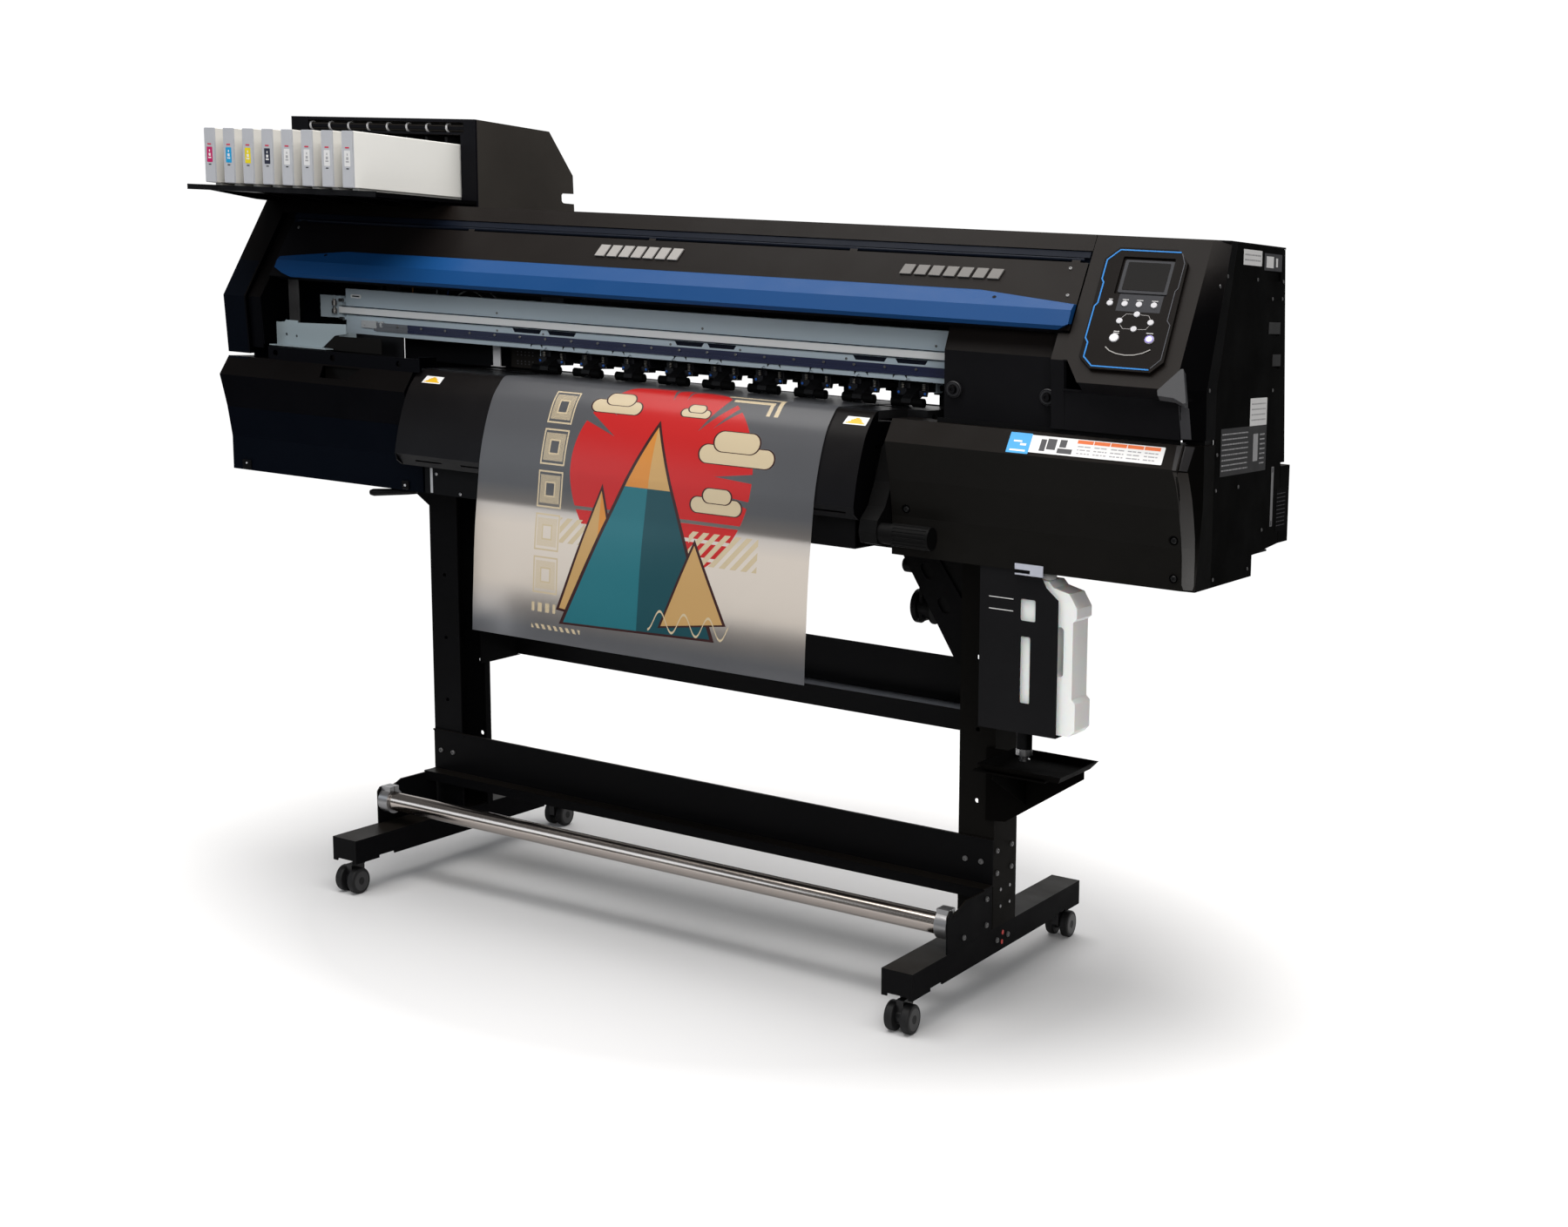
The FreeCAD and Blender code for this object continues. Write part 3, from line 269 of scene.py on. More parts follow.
def print_film():
    """Frosted film with an abstract print: a sun behind peaks, rounded bars and a column of blocks."""
    g = Graph("printed_film")
    u, v, _ = g.split(g.uv)
    red, teal, deep = (0.40, 0.011, 0.011), (0.013, 0.120, 0.150), (0.007, 0.05, 0.064)
    tan, brown, cream, amber = (0.42, 0.26, 0.10), (0.030, 0.008, 0.008), (0.47, 0.39, 0.26), (0.48, 0.19, 0.035)

    def both(a, b):
        return g.math("MULTIPLY", a, b)

    def either(a, b):
        return g.math("MAXIMUM", a, b)

    def less(a, b):
        return g.math("LESS_THAN", a, b)

    def minus(a, b):
        return g.math("SUBTRACT", a, b)

    def cycle(t, pitch):
        """How far t is through its cycle, from 0 to 1."""
        return g.math("FRACT", g.math("DIVIDE", t, pitch))

    def disc(cu, cv, r):
        du, dv = minus(u, cu), minus(v, cv)
        return less(g.math("ADD", both(du, du), both(dv, dv)), r * r)

    def rect(u0, u1, v0, v1):
        return both(g.between(u, u0, u1), g.between(v, v0, v1))

    def pill(u0, u1, cv, r):
        return either(rect(u0, u1, cv - r, cv + r), either(disc(u0, cv, r), disc(u1, cv, r)))

    def side(a, b):
        """1 to the left of the line from a to b."""
        (au, av), (bu, bv) = a, b
        return g.math("GREATER_THAN", both(minus(v, av), bu - au), both(minus(u, au), bv - av))

    def triangle(a, b, c):
        return both(side(a, b), both(side(b, c), side(c, a)))

    def stripes(pitch, share, slant):
        return less(cycle(g.math("ADD", u, both(v, slant)), pitch), share)

    def step(low, high):
        """Part of each storey of the column of blocks."""
        return g.between(cycle(minus(v, 0.085), 0.0755), low, high)

    def column(u0, u1):
        return rect(u0, u1, 0.085, 0.458)

    def ring(u0, u1, low, high, du, dv):
        outer = both(column(u0, u1), step(low, high))
        return both(outer, minus(1.0, both(column(u0 + du, u1 - du), step(low + dv, high - dv))))

    sun_u, sun_v, sun_r = 0.380, 0.320, 0.183
    gaps = both(less(v, 0.262), less(cycle(v, 0.03), 0.2))
    sun = both(disc(sun_u, sun_v, sun_r), minus(1.0, gaps))
    for angle, tip, half in ((93, 0.135, 0.045), (82, 0.14, 0.035), (52, 0.10, 0.055), (44, 0.125, 0.030),
                             (2, 0.11, 0.045), (-12, 0.13, 0.035), (152, 0.115, 0.05), (139, 0.14, 0.035)):
        a, edge = math.radians(angle), sun_r + 0.007
        points = [(sun_u + r * math.cos(t), sun_v + r * math.sin(t))
                  for r, t in ((tip, a), (edge, a - half), (edge, a + half))]
        sun = both(sun, minus(1.0, triangle(*points)))
    layers = [
        (sun, red),
        (both(rect(0.450, 0.585, 0.172, 0.228), stripes(0.021, 0.55, -0.9)), cream),
        (both(rect(0.185, 0.238, 0.178, 0.222), stripes(0.021, 0.55, -0.9)), cream),
    ]
    peaks = (((0.183, 0.06), (0.34, 0.045), (0.268, 0.29), brown),
             ((0.190, 0.064), (0.332, 0.050), (0.267, 0.277), tan),
             ((0.262, 0.062), (0.332, 0.050), (0.267, 0.277), amber),
             ((0.190, 0.036), (0.508, 0.046), (0.364, 0.412), brown),
             ((0.199, 0.040), (0.499, 0.050), (0.364, 0.399), teal),
             ((0.352, 0.045), (0.499, 0.050), (0.364, 0.399), deep),
             ((0.3143, 0.290), (0.4060, 0.290), (0.364, 0.399), amber),
             ((0.3610, 0.290), (0.4060, 0.290), (0.364, 0.399), tan),
             ((0.395, 0.056), (0.530, 0.076), (0.462, 0.215), brown),
             ((0.401, 0.060), (0.523, 0.078), (0.462, 0.204), tan))
    layers += [(triangle(a, b, c), color) for a, b, c, color in peaks]
    for u0, u1, cv, r in ((0.230, 0.305, 0.430, 0.013), (0.256, 0.286, 0.446, 0.013), (0.408, 0.448, 0.432, 0.008),
                          (0.420, 0.436, 0.442, 0.008), (0.470, 0.582, 0.362, 0.016), (0.497, 0.548, 0.386, 0.018),
                          (0.462, 0.534, 0.274, 0.013), (0.484, 0.514, 0.291, 0.012)):
        layers.append((pill(u0 - 0.0015, u1 + 0.0015, cv, r + 0.0015), brown))
        layers.append((pill(u0, u1, cv, r), cream))
    solid = both(column(0.137, 0.179), both(step(0.10, 0.76), stripes(0.0026, 0.62, 0.9)))
    hole = both(column(0.147, 0.169), step(0.25, 0.61))
    outlines = either(ring(0.132, 0.184, 0.0, 0.86, 0.0028, 0.04), ring(0.147, 0.169, 0.25, 0.61, 0.0026, 0.036))
    corner = either(rect(0.475, 0.585, 0.477, 0.484), rect(0.577, 0.585, 0.440, 0.484))
    inner_corner = either(rect(0.490, 0.570, 0.465, 0.471), rect(0.562, 0.569, 0.440, 0.471))
    wave = both(g.math("SINE", both(u, 130.0)), 0.017)
    off = g.math("ABSOLUTE", minus(minus(v, 0.068), wave))
    for mask in (both(solid, minus(1.0, hole)), outlines,
                 both(rect(0.131, 0.182, 0.052, 0.068), stripes(0.016, 0.55, 0.0)),
                 both(rect(0.131, 0.235, 0.022, 0.030), stripes(0.013, 0.5, 0.6)),
                 either(corner, inner_corner), both(less(off, 0.0021), g.between(u, 0.375, 0.535))):
        layers.append((mask, cream))
    cloud = g.noise(2.2, 3.0, g.uv)
    # The bare film's tone is painted light. It is warm and pale on the stretch that hangs below the body, lit through
    # from behind. It is cool above, in front of the dark apron, and again at its very bottom edge.
    cool = g.mix(cloud, (0.165, 0.172, 0.19), (0.205, 0.21, 0.228))
    warm_lit = g.mix(cloud, (0.40, 0.34, 0.28), (0.45, 0.385, 0.32))
    bare = g.mix(g.span(v, 0.02, 0.10), cool, g.mix(g.span(v, 0.20, 0.27), warm_lit, cool))
    tone, ink = bare, None
    for mask, color in layers:
        tone = g.mix(mask, tone, color)
        ink = mask if ink is None else either(ink, mask)
    g.give("Base Color", tone)
    g.give("Transmission Weight", g.span(ink, 0.0, 1.0, 0.66, 0.03))
    g.give("Roughness", g.uneven(30.0, 4.0, 0.56, 0.66, g.uv))
    g.pin("Specular IOR Level", 0.9).pin("IOR", 1.12).pin("Coat Weight", 0.4).pin("Coat Roughness", 0.28)
    g.bump(g.noise(700.0, 2.0, g.uv), 0.04, 0.0002)
    return g.mat


# ---------------------------------------------------------------- meshes
def make_object(name, bm, mats):
    """Turn a bmesh drawn in millimetres into an object of the scene."""
    mesh = bpy.data.meshes.new(name)
    bm.transform(Matrix.Scale(MM, 4))
    bm.to_mesh(mesh)
    bm.free()
    for mat in mats if isinstance(mats, (list, tuple)) else [mats]:
        mesh.materials.append(mat)
    obj = bpy.data.objects.new(name, mesh)
    bpy.context.scene.collection.objects.link(obj)
    return obj


def piece(name, bm, mats, body="frame", smooth=False, bevel=0.0):
    """An object that rides on a body."""
    bmesh.ops.recalc_face_normals(bm, faces=bm.faces)
    obj = make_object(name, bm, mats)
    for poly in obj.data.polygons:
        poly.use_smooth = smooth
    if bevel:
        mod = obj.modifiers.new("edge", "BEVEL")
        mod.width, mod.segments, mod.limit_method = bevel * MM, 2, "ANGLE"
    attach(obj, body)
    return obj


def add_prism(bm, outline, z0, z1, matrix=Matrix(), slot=0):
    """A flat outline drawn out along local Z."""
    low = [bm.verts.new(matrix @ Vector((x, y, z0))) for x, y in outline]
    high = [bm.verts.new(matrix @ Vector((x, y, z1))) for x, y in outline]
    faces = [bm.faces.new(high), bm.faces.new(list(reversed(low)))]
    for i in range(len(outline)):
        j = (i + 1) % len(outline)
        faces.append(bm.faces.new((low[i], low[j], high[j], high[i])))
    for face in faces:
        face.material_index = slot


def add_box(bm, x0, x1, y0, y1, z0, z1, matrix=Matrix(), slot=0):
    add_prism(bm, [(x0, y0), (x1, y0), (x1, y1), (x0, y1)], z0, z1, matrix, slot)


def add_turned(bm, profile, matrix, steps=24, slot=0):
    """Revolve (radius, height) pairs round local Z; a zero radius closes the end."""
    rings = []
    for r, h in profile:
        count = 1 if r == 0 else steps
        rings.append([bm.verts.new(matrix @ Vector((r * math.cos(2 * math.pi * k / steps),
                                                    r * math.sin(2 * math.pi * k / steps), h)))
                      for k in range(count)])
    for a, b in zip(rings, rings[1:]):
        for k in range(steps):
            j = (k + 1) % steps
            corners = [a[k % len(a)], a[j % len(a)], b[j % len(b)], b[k % len(b)]]
            unique = list(dict.fromkeys(corners))
            if len(unique) > 2:
                bm.faces.new(unique).material_index = slot


def add_cap(bm, matrix, r, wall, crown, steps):
    """A low disc with its rim at wall and its middle at crown."""
    add_turned(bm, [(0, 0), (r, 0), (r, wall), (0, crown)], matrix, steps)


def add_ring(bm, matrix, r0, r1, z0, z1, steps, slot=0):
    add_turned(bm, [(r0, z0), (r1, z0), (r1, z1), (r0, z1), (r0, z0)], matrix, steps, slot)


def boxes(name, mats, rows, bevel=0.0):
    """A piece made of boxes, each given as (x0, x1, y0, y1, z0, z1)."""
    bm = bmesh.new()
    for row in rows:
        add_box(bm, *row)
    piece(name, bm, mats, bevel=bevel)


def rounded(w, h, r, steps=5):
    """Outline of a rounded rectangle about the origin."""
    out = []
    for cx, cy, start in ((w / 2 - r, h / 2 - r, 0), (r - w / 2, h / 2 - r, 90), (r - w / 2, r - h / 2, 180),
                          (w / 2 - r, r - h / 2, 270)):
        for k in range(steps + 1):
            a = math.radians(start + 90 * k / steps)
            out.append((cx + r * math.cos(a), cy + r * math.sin(a)))
    return out


def facing(at, normal):
    """Matrix whose local Z is the normal and local Y points up as nearly as it can."""
    z = Vector(normal).normalized()
    x = Vector((0, 0, 1)).cross(z)
    x = x.normalized() if x.length > 1e-6 else Vector((1, 0, 0))
    y = z.cross(x)
    turn = Matrix((x, y, z)).transposed().to_4x4()
    return Matrix.Translation(Vector(at)) @ turn


def slope_y(z):
    return SLOPE_Y - SLOPE_K * (SLOPE_Z - z)


def on_slope(x, z):
    return facing((x, slope_y(z), z), SLOPE_N)


# Placements that look to the front, to the right and up.
def front(x, y, z):
    return facing((x, y, z), (0, -1, 0))


def right(y, z, x=SIDE_X):
    return facing((x, y, z), (1, 0, 0))


def above(x, y, z):
    return facing((x, y, z), (0, 0, 1))


TREES = {}


def cast(nodes, start, direction):
    """First point of the named CAD nodes along a ray, in millimetres, with its normal."""
    best = None
    for name in nodes:
        if name not in TREES:
            mesh = NODES[name].data
            TREES[name] = BVHTree.FromPolygons([v.co / MM for v in mesh.vertices],
                                               [tuple(p.vertices) for p in mesh.polygons])
        hit, normal, _, distance = TREES[name].ray_cast(Vector(start), Vector(direction).normalized())
        if hit and (best is None or distance < best[2]):
            best = (hit, normal, distance)
    if best is None:
        raise ValueError(f"nothing of {nodes} lies along the ray from {tuple(start)}")
    hit, normal, _ = best
    return hit, (normal if normal.dot(Vector(direction)) < 0 else -normal)


def lay(name, n, m, find, mats, thick, paint=None):
    """A thin plate of n by m cells on CAD surfaces; find gives the point and normal at a corner of the grid."""
    bm, clear = bmesh.new(), 0.03
    top, low = {}, {}
    for i in range(n + 1):
        for j in range(m + 1):
            hit, normal = find(i, j)
            top[i, j] = bm.verts.new(hit + normal * thick)
            low[i, j] = bm.verts.new(hit + normal * clear)
    for i in range(n):
        for j in range(m):
            face = bm.faces.new((top[i, j], top[i + 1, j], top[i + 1, j + 1], top[i, j + 1]))
            face.material_index = paint((i + 0.5) / n, (j + 0.5) / m) if paint else 0
            bm.faces.new((low[i, j], low[i, j + 1], low[i + 1, j + 1], low[i + 1, j]))
    rim = [(i, 0) for i in range(n)] + [(n, j) for j in range(m)]
    rim += [(i, m) for i in range(n, 0, -1)] + [(0, j) for j in range(m, 0, -1)]
    for p, q in zip(rim, rim[1:] + rim[:1]):
        bm.faces.new((low[p], low[q], top[q], top[p]))
    piece(name, bm, mats)


def drop(name, corners, nodes, mats, n, m, paint):
    """A four-cornered plate dropped straight down onto CAD surfaces."""
    a, b, c, d = (Vector(p) for p in corners)

    def find(i, j):
        return cast(nodes, a.lerp(b, i / n).lerp(d.lerp(c, i / n), j / m), (0, 0, -1))

    lay(name, n, m, find, mats, 0.4, paint)


def ribbon(name, rows, nodes, mat):
    """A strip laid on CAD surfaces along the line of sight; rows are (left, right) points down its length."""
    eye, fine, cells = CAM_AT / MM, [], 4
    for (a, b), (c, d) in zip(rows, rows[1:]):
        fine += [(Vector(a).lerp(Vector(c), k / cells), Vector(b).lerp(Vector(d), k / cells)) for k in range(cells)]
    fine.append(tuple(Vector(p) for p in rows[-1]))

    def find(i, j):
        a, b = fine[i]
        return cast(nodes, eye, a.lerp(b, j / cells) - eye)

    lay(name, len(fine) - 1, cells, find, mat, 0.7)


def screws(name, mat, spots, r, h, body="frame"):
    """Socket-head screws, each given as (point, outward normal)."""
    bm = bmesh.new()
    for at, normal in spots:
        profile = [(0, -0.4), (r, -0.4), (r, 0.55 * h), (0.78 * r, h), (0.42 * r, h), (0.38 * r, 0.45 * h),
                   (0, 0.45 * h)]
        add_turned(bm, profile, facing(at, normal), 14)
    piece(name, bm, mat, body)


# ---------------------------------------------------------------- finishes for the CAD nodes
def paint_nodes():
    # Coats paint light and shade into their colour by the way each face looks. The first colour is for upright faces.
    # The second is the painted tone of faces that look up: painted light on most coats, painted shade on lower,
    # bracket, post and tray. Faces that look right are painted darker, except on hood, stand and post. Top and cover
    # are painted darker towards their left ends.
    navy, warm_lit = (0.0026, 0.0027, 0.0038), (0.0082, 0.0062, 0.0049)
    black = coat("black_coat", (0.0046, 0.0045, 0.0053), warm_lit)
    top = coat("top_coat", navy, warm_lit, dim=(-0.95, -0.55, (0.0030, 0.0027, 0.0026)),
               patches=[((None, (-0.126, -0.09), (1.2460, 1.2652)), (0.0035, 0.0055, 0.011))])
    cover = coat("cover_coat", navy, warm_lit, dim=(-0.95, -0.35, (0.0022, 0.0023, 0.0034)),
                 patches=[((None, (-0.1214, -0.1146), (1.2486, 1.2554)), (0.0035, 0.0055, 0.011))])
    apron = coat("apron_coat", (0.0042, 0.0042, 0.0052), (0.0060, 0.0052, 0.0052))
    lower = coat("lower_coat", (0.0070, 0.0066, 0.0060), (0.0042, 0.0028, 0.0020), specular=0.04)
    deep = (0.0012, 0.0021, 0.0046)
    left = coat("left_coat", (0.0016, 0.0017, 0.0026), (0.0034, 0.0028, 0.0026), specular=0.035,
                patches=[((None, None, (0.76, 0.885)), deep), (((-0.983, -0.929), None, (0.98, 1.17)), deep)])
    side = coat("side_coat", (0.0013, 0.0012, 0.0010), warm_lit, 0.50, 0.01)
    hood = coat("hood_coat", (0.034, 0.031, 0.028), (0.046, 0.040, 0.036), 0.46, 0.06, side=1.0,
                patches=[((None, (-0.03, -0.015), None), (0.004, 0.004, 0.0055))])
    dark = coat("stand_coat", (0.0027, 0.0027, 0.0031), (0.0085, 0.0073, 0.0062), 0.46, 0.05, 1000, side=1.2)
    post = coat("post_coat", (0.0050, 0.0046, 0.0041), (0.0022, 0.0019, 0.0017), 0.50, 0.03, 1000, side=1.5)
    tray = coat("tray_coat", (0.0026, 0.0024, 0.0022), (0.0011, 0.0010, 0.0009), 0.60, 0.006, 1000)
    bracket = coat("bracket_coat", (0.0078, 0.0078, 0.0086), (0.0060, 0.0051, 0.0043), 0.46, 0.05, 1000)
    # The beam's patch is a painted highlight: a pale blue-grey line along the top face of its ledge.
    beam = coat("beam_coat", (0.0026, 0.0027, 0.0032), (0.0062, 0.0051, 0.0043), 0.42, 0.08, 1000,
                patches=[((None, (0.1436, 0.1926), (0.4425, 0.4435)), (0.085, 0.092, 0.105))])
    pale = (0.30, 0.36, 0.39)
    base = surface("chassis_coat", (0.0034, 0.0035, 0.0042), 0.46, specular=0.10, grain=1000, strength=0.10,
                   patches=[(((-0.8935, -0.7155), (-0.2005, -0.1465), (1.009, 1.0605)), pale)])
    rail = surface("rail_coat", (0.52, 0.62, 0.69), 0.38, specular=0.35, grain=1400, strength=0.06, vary=0.10,
                   patches=[(((-0.7455, 0.891), (-0.070, -0.0603), (1.0465, 1.0635)), (0.009, 0.014, 0.060)),
                            (((-0.7455, -0.66), (-0.070, -0.0603), (1.0465, 1.0635)), (0.16, 0.17, 0.19))])
    blue = surface("blue_coat", (0.0045, 0.042, 0.140), 0.42, specular=0.09, grain=1300, strength=0.05, vary=0.08)
    plastic = surface("black_plastic", (0.0055, 0.0055, 0.0062), 0.46, specular=0.18, grain=700, strength=0.15)
    rubber = surface("grip_rubber", (0.0018, 0.0018, 0.0019), 0.6, specular=0.08, grain=420, strength=0.25)
    caster = surface("caster_plastic", (0.005, 0.005, 0.0056), 0.3, grain=500, strength=0.06)
    tread = surface("caster_tread", (0.008, 0.008, 0.0085), 0.52, specular=0.2, grain=380, strength=0.2)
    platen = surface("platen_coat", (0.010, 0.010, 0.011), 0.34, metal=0.3, specular=0.25, strength=0.10)
    tube = brushed("polished_tube", (0.40, 0.36, 0.33), "x", 0.17)
    zinc = surface("cast_zinc", (0.27, 0.27, 0.275), 0.36, metal=0.9, grain=320, strength=0.22, vary=0.12)
    bottle = milky()
    end_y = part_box("cartridge_1")[0].y
    edge = [((None, (end_y - 0.001, end_y + 0.0028), None), (0.42, 0.43, 0.46))]
    cartridge = surface("cartridge_plastic", (0.74, 0.74, 0.71), 0.42, grain=600, strength=0.08, vary=0.05,
                        patches=edge)
    # Cartridges 1 to 7 take a painted-shade copy of the cartridge plastic. It is darker overall and less dark along the
    # front 5 cm, for the shade their neighbours cast on them. Cartridge 8 keeps the unshaded plastic.
    inner = surface("cartridge_shaded", (0.44, 0.43, 0.40), 0.42, grain=600, strength=0.08, vary=0.10,
                    patches=[((None, (end_y - 0.001, end_y + 0.05), None), (0.58, 0.57, 0.54))] + edge)
    plate = (0.034, 0.035, 0.039)
    bezel = surface("bezel_plastic", (0.0054, 0.0043, 0.0038), 0.42, specular=0.03, grain=1200, strength=0.08,
                    patches=[(((0.8320, 0.9025), (-0.30, -0.10), (1.1776, 1.2040)), plate)])
    key = surface("key_plastic", (0.40, 0.40, 0.42), 0.40, strength=0.05, vary=0.06)
    looks = {
        "left_foot": dark, "right_foot": dark, "left_post": dark, "right_post": post, "lower_crossbar": dark,
        "rear_crossbeam": beam, "right_side_panel": side, "rear_box": side, "stand_brackets": dark, "guide_tube": tube,
        "tube_clamps": zinc, "base_frame": base, "ink_housing": hood, "front_cover": cover, "apron": apron,
        "lower_right_cover": lower, "lower_left_cover": left, "left_end_cover": left, "top_cover": top,
        "rail_beam": rail, "carriage": plastic, "platen": platen, "feed_roller": rubber, "pinch_arms": plastic,
        "pinch_rollers": rubber, "clamp_lever": rubber, "blue_band": blue, "panel_bezel": bezel,
        "bottle_bracket": bracket, "waste_bottle": bottle, "drip_tray": tray,
    }
    for node, obj in NODES.items():
        mat = looks.get(node, black)
        if node.startswith("cartridge_"):
            mat = cartridge if node == "cartridge_8" else inner
        elif node.startswith("button_"):
            mat = key
        elif node.startswith("fork_"):
            mat = caster
        elif node.startswith("wheels_"):
            mat = tread
        if obj.material_slots:
            for slot in obj.material_slots:
                slot.material = mat
        else:
            obj.data.materials.append(mat)


# ---------------------------------------------------------------- film
def smooth_line(points):
    """Catmull-Rom curve through (y, z) points."""
    per = 12
    pts = [Vector((*p, 0)) for p in points]
    pts = [pts[0] * 2 - pts[1]] + pts + [pts[-1] * 2 - pts[-2]]
    out = []
    for i in range(1, len(pts) - 2):
        a, b, c, d = pts[i - 1:i + 3]
        for k in range(per):
            t = k / per
            out.append(0.5 * ((2 * b) + (c - a) * t + (2 * a - 5 * b + 4 * c - d) * t * t
                              + (3 * b - 3 * c + d - a) * t ** 3))
    out.append(pts[-2])
    return out


def make_film():
    line = smooth_line(FILM_LINE)
    run = [0.0]
    for a, b in zip(line, line[1:]):
        run.append(run[-1] + (b - a).length)
    length, width, cols = run[-1], FILM_X1 - FILM_X0, FILM_COLUMNS
    bm = bmesh.new()
    layer = bm.loops.layers.uv.new("UVMap")
    grid, uv = [], {}
    for s, p in zip(run, line):
        row = []
        free = max(0.0, (s - FILM_FREE_FROM) / (length - FILM_FREE_FROM))
        for i in range(cols + 1):
            t = i / cols
            wave = free * (1.3 * math.sin(7.5 * t + 2.5 * free) + 0.6 * math.sin(17 * t + 4 * free))
            vert = bm.verts.new((FILM_X0 + width * t, p.x + free + wave * 0.6, p.y))
            uv[vert] = (width * t * MM, (length - s) * MM)
            row.append(vert)
        grid.append(row)
    for a, b in zip(grid, grid[1:]):
        for i in range(cols):
            face = bm.faces.new((a[i], b[i], b[i + 1], a[i + 1]))
            for loop in face.loops:
                loop[layer].uv = uv[loop.vert]
    film = piece("film_sheet", bm, print_film(), smooth=True)
    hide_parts("media_film")


# ---------------------------------------------------------------- control panel
def sweep(bm, points, w, t, matrix):
    """Flat strip of width w and thickness t along a 2-D polyline."""
    pts = [Vector(p) for p in points]
    sides = []
    for i, p in enumerate(pts):
        a, b = pts[max(i - 1, 0)], pts[min(i + 1, len(pts) - 1)]
        d1 = (p - a).normalized() if i else (b - p).normalized()
        d2 = (b - p).normalized() if i < len(pts) - 1 else d1
        normal = Vector((-(d1 + d2).y, (d1 + d2).x)).normalized()
        stretch = w / 2 / max(0.5, normal.dot(Vector((-d1.y, d1.x))))
        sides.append((p + normal * stretch, p - normal * stretch))
    for (a, b), (c, d) in zip(sides, sides[1:]):
        add_prism(bm, [b, d, c, a], 0, t, matrix)


def make_panel():
    at = on_slope(862, 1180)
    raised = at @ Matrix.Translation((0, 0, BEZEL_LIFT))
    blue = surface("inlay_blue", (0.015, 0.15, 0.42), 0.35, specular=0.1, grain=1500, strength=0.04, vary=0.06)
    silver = brushed("inlay_silver", (0.10, 0.098, 0.095), "x", 0.3)
    bm = bmesh.new()
    edge = [(50, 106), (-48, 106), (-65.5, 86), (-65.5, 50), (-61.5, 44), (-61.5, 5), (-65.5, -1), (-65.5, -60),
            (-60, -68), (-60, -94), (-44, -109.5), (47, -109.5)]
    sweep(bm, edge, 2.2, 0.5, raised)
    piece("panel_inlay", bm, blue)
    bm = bmesh.new()
    far = [(52, 104), (59.5, 86), (59.5, 40), (56, 34), (56, -20), (62, -28), (62, -90), (49, -107)]
    sweep(bm, far, 1.3, 0.5, raised)
    piece("panel_line", bm,
          surface("line_bronze", (0.022, 0.024, 0.032), 0.35, specular=0.2, grain=1500, strength=0.04))
    bm = bmesh.new()
    for x, y, w in ((-42, 13.5, 6), (-18, 14, 10), (5, 14, 10), (29, 14, 10), (-19, -44.5, 9), (-19, -47.5, 9),
                    (34, -44.5, 11)):
        add_box(bm, x - w / 2, x + w / 2, y - 0.6, y + 0.6, 0, 0.1, raised)
    piece("key_marks", bm, label_paint("mark_pale", (0.42, 0.42, 0.42), grain=900))
    bm = bmesh.new()
    bar = [(-30, -74), (-22, -80.5), (-10, -85), (4, -86.8), (18, -85.6), (31, -81.2), (42, -74)]
    sweep(bm, bar, 1.7, 0.9, raised)
    piece("panel_bar", bm, silver)
    bm = bmesh.new()
    for run in ([(-17, -19.5), (-11, -12), (0, -12)], [(12, -12), (25, -13), (29, -19.5)],
                [(-17, -31.5), (-11, -39), (1, -39)], [(13, -39), (26, -38), (29.5, -31.5)]):
        sweep(bm, run, 0.8, 0.1, raised)
    piece("key_lines", bm, label_paint("line_pale", (0.20, 0.19, 0.19), grain=900))
    bm = bmesh.new()
    add_prism(bm, rounded(80, 62, 3), 0, 2.2, at @ Matrix.Translation((4, 58.5, 2.55)))
    piece("screen_frame", bm, surface("screen_frame_plastic", (0.034, 0.035, 0.039), 0.42, specular=0.05), bevel=0.5)
    g = Graph("screen_glass")
    height = g.split(g.pos)[2]
    # The glass carries a painted reflection: a little paler and warmer towards its lower edge.
    g.give("Base Color", g.mix(g.span(height, 1.19, 1.26), (0.0028, 0.0022, 0.0020), (0.0014, 0.0012, 0.0012)))
    g.give("Roughness", g.uneven(25.0, 3.0, 0.12, 0.2))
    g.pin("Specular IOR Level", 0.05)
    bm = bmesh.new()
    add_prism(bm, rounded(68, 52, 2), 0, 0.5, at @ Matrix.Translation((4, 59, 4.78)))
    piece("screen", bm, g.mat)
    ring = surface("ring_violet", (0.16, 0.12, 0.42), 0.3, strength=0.04)
    cap = surface("cap_white", (0.62, 0.62, 0.64), 0.34, strength=0.04, vary=0.05)
    faces = ((-20, -57, 7.92, 6.2, cap, "button_9"), (36, -56, 7.92, 6.9, ring, "button_10"),
             (36, -56, 8.04, 5.0, cap, "button_10"))
    for i, (x, y, lift, r, mat, body) in enumerate(faces):
        bm = bmesh.new()
        add_turned(bm, [(0, 0), (r, 0), (r, 0.25), (r - 0.4, 0.4), (0, 0.4)], at @ Matrix.Translation((x, y, lift)), 32)
        piece(f"key_face_{i + 1}", bm, mat, body)


# ---------------------------------------------------------------- labels and badges
def tag(name, at, w, h, base, marks=(), mats=(), body="frame", r=1.0):
    """A thin rounded label; marks are (x0, x1, y0, y1, slot) bars printed on it."""
    bm = bmesh.new()
    add_prism(bm, rounded(w, h, r, 3), 0.04, 0.22, at)
    for x0, x1, y0, y1, slot in marks:
        add_box(bm, x0, x1, y0, y1, 0.22, 0.27, at, slot)
    piece(name, bm, [base, *mats], body)


def lines(x0, x1, y0, y1, rows, fill):
    """Rows of broken bars that stand for small print."""
    out = []
    pitch = (y1 - y0) / rows
    for k in range(rows):
        x = x0
        y = y1 - (k + 1) * pitch + pitch * (1 - fill) / 2
        while x < x1 - 2:
            step = min(random.uniform(3, 11), x1 - x)
            out.append((x, x + step, y, y + pitch * fill, 1))
            x += step + random.uniform(1, 2.4)
    return out


